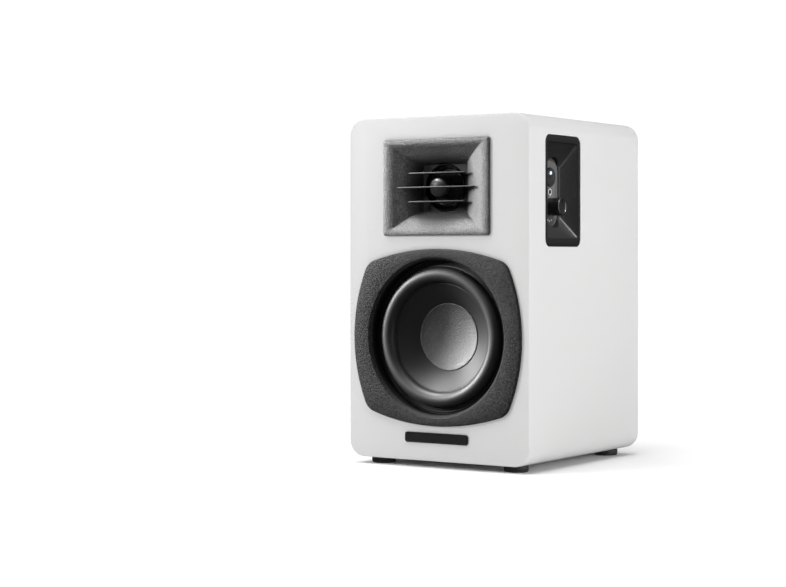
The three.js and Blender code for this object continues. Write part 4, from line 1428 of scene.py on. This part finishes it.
# %% Volume knob
TIP, GROOVE_HALF = 61.3, 0.35
knob = turned_sideways(
    "volume_knob_cap",
    [
        (0, FLOOR_X + 0.3),
        (KNOB_R - 0.3, FLOOR_X + 0.3),
        (KNOB_R, FLOOR_X + 0.6),
        (KNOB_R, TIP - 0.75),
        (KNOB_R - 0.1, TIP - 0.35),
        (KNOB_R - 0.35, TIP - 0.1),
        (KNOB_R - 0.7, TIP),
        (KNOB_R - 1.0, TIP - 0.06),
        (KNOB_R - 1.25, TIP - 0.3),
        (KNOB_R - 1.6, TIP - 0.42),
        (2, TIP - 0.5),
        (0, TIP - 0.52),
    ],
    KNOB_Z,
    steps=96,
)
groove = block(
    "pointer_groove",
    (TIP - 0.9, FASCIA_Y - GROOVE_HALF, KNOB_Z + 1.6),
    (TIP + 1, FASCIA_Y + GROOVE_HALF, KNOB_Z + 8),
)
carve(knob, groove)
soften(knob, 0, angle=32)
settle(knob, "volume_control", KNOB_BLACK, "knob_black", "volume_knob")

# %% [markdown]
# ## The back
# The amplifier panel is a coated steel plate held by four screws, with the phono sockets, the
# power inlet and the clamp terminals for the other speaker. None of it can be seen from the
# front, so it follows the layout that small powered speakers usually have.

# %% Amplifier panel and screws
AMP_HALF, AMP_LOW, AMP_HIGH, AMP_FACE = 46, 18, 102, 137.8
RCA_X, RCA_Z, INLET_X, INLET_Z = (-31, -13), 80, -24, 42
amp_rows = [(0, 136.3), (0, AMP_FACE - 0.3), (0.1, AMP_FACE - 0.08), (0.35, AMP_FACE)]
amp_centre, amp_tall = (AMP_LOW + AMP_HIGH) / 2, (AMP_HIGH - AMP_LOW) / 2
plate = moulded(
    "amplifier_plate",
    [
        facing(rounded_rectangle(0, amp_centre, AMP_HALF - d, amp_tall - d, 3 - d, 8), y)
        for d, y in amp_rows
    ],
)
for low_z, high_z in [(29.6, 30.2), (91.2, 91.8)]:
    line = block("panel_line", (-40.5, AMP_FACE - 0.35, low_z), (41.5, AMP_FACE + 1, high_z))
    carve(plate, line)
for x, z, radius in [*[(x, RCA_Z, 3.4) for x in RCA_X], (INLET_X, INLET_Z, 5.3)]:
    hole = [(0, 130), (radius, 130), (radius, 140), (0, 140)]
    carve(plate, spun("hole", hole, spot(x, 0, z), steps=40))
soften(plate, 0.06, 1, 40)
settle(plate, "cabinet", PANEL_BLACK, "panel_black_metal", "amp_panel")

SCREW_X, SCREW_LOW, SCREW_HIGH = 42, 22, 98
screw = spun(
    "amplifier_screw_1",
    [
        (0, 128.5),
        (1.2, 128.7),
        (1.6, 130),
        (1.6, AMP_FACE),
        (3.0, AMP_FACE + 0.05),
        (3.04, AMP_FACE + 0.5),
        (2.7, AMP_FACE + 1.2),
        (2.0, AMP_FACE + 1.65),
        (1.0, AMP_FACE + 1.85),
        (0, AMP_FACE + 1.9),
    ],
    spot(-SCREW_X, 0, SCREW_LOW),
    steps=40,
)
for across, tall in [(1.6, 0.3), (0.3, 1.6)]:
    low = (-SCREW_X - across, AMP_FACE + 0.7, SCREW_LOW - tall)
    carve(screw, block("cross_slot", low, (-SCREW_X + across, AMP_FACE + 3, SCREW_LOW + tall)))
soften(screw, 0.05, 1, 40)
for i, (right, up) in enumerate([(0, 0), (1, 0), (0, 1), (1, 1)], 1):
    place = (right * 2 * SCREW_X, 0, up * (SCREW_HIGH - SCREW_LOW))
    turned = screw if i == 1 else copied(screw, f"amplifier_screw_{i}", *place)
    settle(turned, "cabinet", SCREW_BLACK, "screw_black", f"panel_screw_{i}")

# %% Phono sockets
RCA_R = 4.15
rca_rows = [(0, AMP_FACE + 0.1), (0, 139.7), (0.15, 139.92), (0.4, 140)]
base = moulded(
    "phono_base",
    [facing(rounded_rectangle(-22, RCA_Z, 17 - d, 8 - d, 2.2 - d, 8), y) for d, y in rca_rows],
)
soften(base, 0, angle=40)
settle(base, "cabinet", PLASTIC_BLACK, "plastic_black", "rca_jacks")
for side, x, colour in [("left", RCA_X[0], RING_WHITE), ("right", RCA_X[1], RING_RED)]:
    collar = spun(
        f"phono_collar_{side}",
        [(RCA_R + 0.1, 139.8), (6.2, 139.8), (6.2, 140.9), (5.9, 141.2), (RCA_R + 0.1, 141.2)],
        spot(x, 0, RCA_Z),
        steps=56,
    )
    soften(collar, 0, angle=40)
    settle(collar, "cabinet", colour, "plastic_black")
    barrel = spun(
        f"phono_barrel_{side}",
        [
            (1.6, 141),
            (2.7, 141),
            (3.1, 141.4),
            (3.1, 146.8),
            (3.3, 147),
            (RCA_R - 0.15, 147),
            (RCA_R, 146.8),
            (RCA_R, 139.8),
            (1.6, 139.8),
        ],
        spot(x, 0, RCA_Z),
        steps=56,
    )
    soften(barrel, 0, angle=40)
    settle(barrel, "cabinet", NICKEL, "plastic_black")
    core = spun(
        f"phono_core_{side}",
        [
            (0, 140.5),
            (2.75, 140.5),
            (2.75, 145.9),
            (2.55, 146.1),
            (1.5, 146.1),
            (1.35, 145.9),
            (1.35, 142),
            (0, 142),
        ],
        spot(x, 0, RCA_Z),
        steps=40,
    )
    soften(core, 0, angle=40)
    settle(core, "cabinet", colour, "plastic_black")

# %% Power inlet
inlet = spun(
    "power_inlet_socket",
    [
        (3.1, 139.0),
        (3.3, 139.2),
        (4.4, 139.2),
        (4.6, 139.05),
        (5.0, 139.05),
        (5.2, 139.2),
        (5.9, 139.2),
        (6.2, 138.95),
        (6.2, AMP_FACE + 0.05),
        (5.0, AMP_FACE + 0.05),
        (5.0, 127.3),
        (0, 127.3),
        (0, 128.3),
        (3.1, 128.3),
    ],
    spot(INLET_X, 0, INLET_Z),
    steps=64,
)
soften(inlet, 0, angle=40)
settle(inlet, "cabinet", PLASTIC_BLACK, "plastic_black", "power_inlet")
pin = spun(
    "power_inlet_pin",
    [(0, 128.2), (1, 128.2), (1, 137.0), (0.75, 137.45), (0, 137.5)],
    spot(INLET_X, 0, INLET_Z),
    steps=32,
)
soften(pin, 0, angle=50)
settle(pin, "cabinet", NICKEL, "plastic_black")

# %% Clamp terminals and levers
BLOCK_X, BLOCK_HALF, BLOCK_LOW, BLOCK_HIGH, BLOCK_FACE = 20, 20, 34, 56, 143
LEVER_Y, LEVER_Z, LEVER_HUB, LEVER_HALF, LEVER_TIP = 141.2, 50.5, 1.6, 6, 149
LEVER_PITCH, POCKET_HALF, WIRE_HOLE_Z = 10, 6.6, 40
terminals = block(
    "terminal_housing",
    (BLOCK_X - BLOCK_HALF, AMP_FACE + 0.1, BLOCK_LOW),
    (BLOCK_X + BLOCK_HALF, BLOCK_FACE, BLOCK_HIGH),
)
soften(terminals, 0.9, 3, 40)
for x in (BLOCK_X - LEVER_PITCH, BLOCK_X + LEVER_PITCH):
    pocket = block(
        "pocket",
        (x - POCKET_HALF, LEVER_Y - 2, LEVER_Z - 5.5),
        (x + POCKET_HALF, BLOCK_FACE + 2, LEVER_Z + 3),
    )
    hole = spun(
        "wire_hole",
        [(0, 139), (1.7, 139), (1.7, 141.4), (3.3, BLOCK_FACE + 0.1), (3.3, 145), (0, 145)],
        spot(x, 0, WIRE_HOLE_Z),
        steps=40,
    )
    carve(terminals, pocket, hole)
divide = block(
    "divide",
    (BLOCK_X - 0.4, BLOCK_FACE - 0.6, BLOCK_LOW - 4),
    (BLOCK_X + 0.4, BLOCK_FACE + 2, BLOCK_HIGH + 4),
)
carve(terminals, divide)
soften(terminals, 0.1, 1, 40)
settle(terminals, "cabinet", PLASTIC_BLACK, "plastic_black", "terminal_block")

hub_arc = [
    (LEVER_Y + LEVER_HUB * sin(radians(a)), LEVER_Z - LEVER_HUB * cos(radians(a)))
    for a in range(-150, 31, 15)
]
hub_and_tab = [
    *hub_arc,
    (LEVER_Y + 2.6, LEVER_Z - 0.8),
    (LEVER_TIP - 0.5, LEVER_Z - 0.9),
    (LEVER_TIP, LEVER_Z - 0.5),
    (LEVER_TIP, LEVER_Z + 0.9),
    (LEVER_TIP - 0.5, LEVER_Z + 1.35),
    (LEVER_TIP - 1.2, LEVER_Z + 1.2),
    (LEVER_TIP - 1.8, LEVER_Z + 0.8),
    (LEVER_Y + 2.6, LEVER_Z + 0.9),
]
left_x = BLOCK_X - LEVER_PITCH
lever = moulded(
    "clamp_lever_red",
    [sideways(hub_and_tab, x) for x in (left_x - LEVER_HALF, left_x + LEVER_HALF)],
)
soften(lever, 0.25, 2, 40)
other_lever = copied(lever, "clamp_lever_black", 2 * LEVER_PITCH)
settle(lever, "terminal_lever_red", LEVER_RED, "lever_red", "lever_red")
settle(other_lever, "terminal_lever_black", LEVER_BLACK, "lever_black", "lever_black")

# %% [markdown]
# ## Inside the cabinet
# A pad of polyester wadding lies against the left wall and soaks up echoes. It is a block with
# rounded corners whose skin is pushed in and out a little.
# The magnets, boards, coils and screws keep their CAD shapes and get finishes of their own.

# %% Wadding pad
pad = block("wadding_cushion", (-51.6, 31, 113), (-33, 117, 189))
take(pad)
bpy.ops.object.mode_set(mode="EDIT")
bpy.ops.mesh.select_all(action="SELECT")
bpy.ops.mesh.bevel(offset=5 * MM, segments=4, affect="EDGES")
bpy.ops.mesh.select_all(action="SELECT")
bpy.ops.mesh.subdivide(number_cuts=6)
bpy.ops.object.mode_set(mode="OBJECT")
lumps = bpy.data.textures.new("wadding_lumps", "CLOUDS")
lumps.noise_scale = 0.018
apply_modifier(pad, "DISPLACE", texture=lumps, strength=0.0014, mid_level=0.9)
soften(pad, 0, angle=60)
settle(pad, "cabinet", WADDING, "wadding", "wadding_pad")

# %% Finishes for the CAD parts that stay
KEPT_FINISHES = {
    PRESSED_BLACK: ["woofer_basket"],
    FOAM_BLACK: ["woofer_gasket"],
    SCREW_BLACK: [f"woofer_screw_{i}" for i in (1, 2, 3, 4)],
    COPPER: ["woofer_voice_coil", "tweeter_voice_coil"],
    STEEL: ["woofer_top_plate", "woofer_yoke", "tweeter_top_plate", "tweeter_yoke"],
    NICKEL: ["tweeter_screw_1", "tweeter_screw_2", "volume_shaft", "potentiometer"],
    FERRITE: ["woofer_magnet", "tweeter_magnet"],
    PLASTIC_BLACK: ["tact_switch"],
    BOARD_GREEN: ["control_pcb", "amp_pcb"],
    ALUMINIUM: ["heat_sink"],
    CAPACITOR: ["filter_capacitor"],
    WIRE_RED: ["woofer_wires"],
    WIRE_DARK: ["tweeter_wires"],
}
for finish, names in KEPT_FINISHES.items():
    for name in names:
        slots = frame["nodes"][name].material_slots
        for slot in slots:
            slot.material = finish
        print(f"{name}: {len(slots)} slot(s) of {finish.name}")

# %% Pieces that the accent lamps reach
WOOFER_PARTS = [
    "woofer_bezel_ring",
    "woofer_roll_surround",
    "woofer_paper_cone",
    "woofer_dust_cap_disc",
]
HORN_PARTS = ["tweeter_horn_plate", *[made.name for made in vanes]]
RECESS_PARTS = ["control_well", "control_fascia_plate", "volume_knob_cap"]
ACCENTED = {
    "accent_left": [*WOOFER_PARTS, *HORN_PARTS],
    "accent_top": [*WOOFER_PARTS, *HORN_PARTS, "tweeter_nose"],
    "accent_side": RECESS_PARTS,
}
for lamp_name, names in ACCENTED.items():
    for name in names:
        accents[lamp_name].objects.link(bpy.data.objects[name])
    print(f"{lamp_name} reaches {len(names)} pieces")

# %% Floor
deselect()
bpy.ops.mesh.primitive_plane_add(size=8, location=(0, 0, 0))
floor = bpy.context.object
floor.name = "studio_floor"
paint = Finish("studio_floor_white")
patches = paint.noise(400)
colour = paint.tint(patches, grey(0.93), grey(0.95))
floor.data.materials.append(paint.drive(base_color=colour, roughness=patches * 0.1 + 0.7))
floor.visible_glossy = False
print("staged:", floor.name)
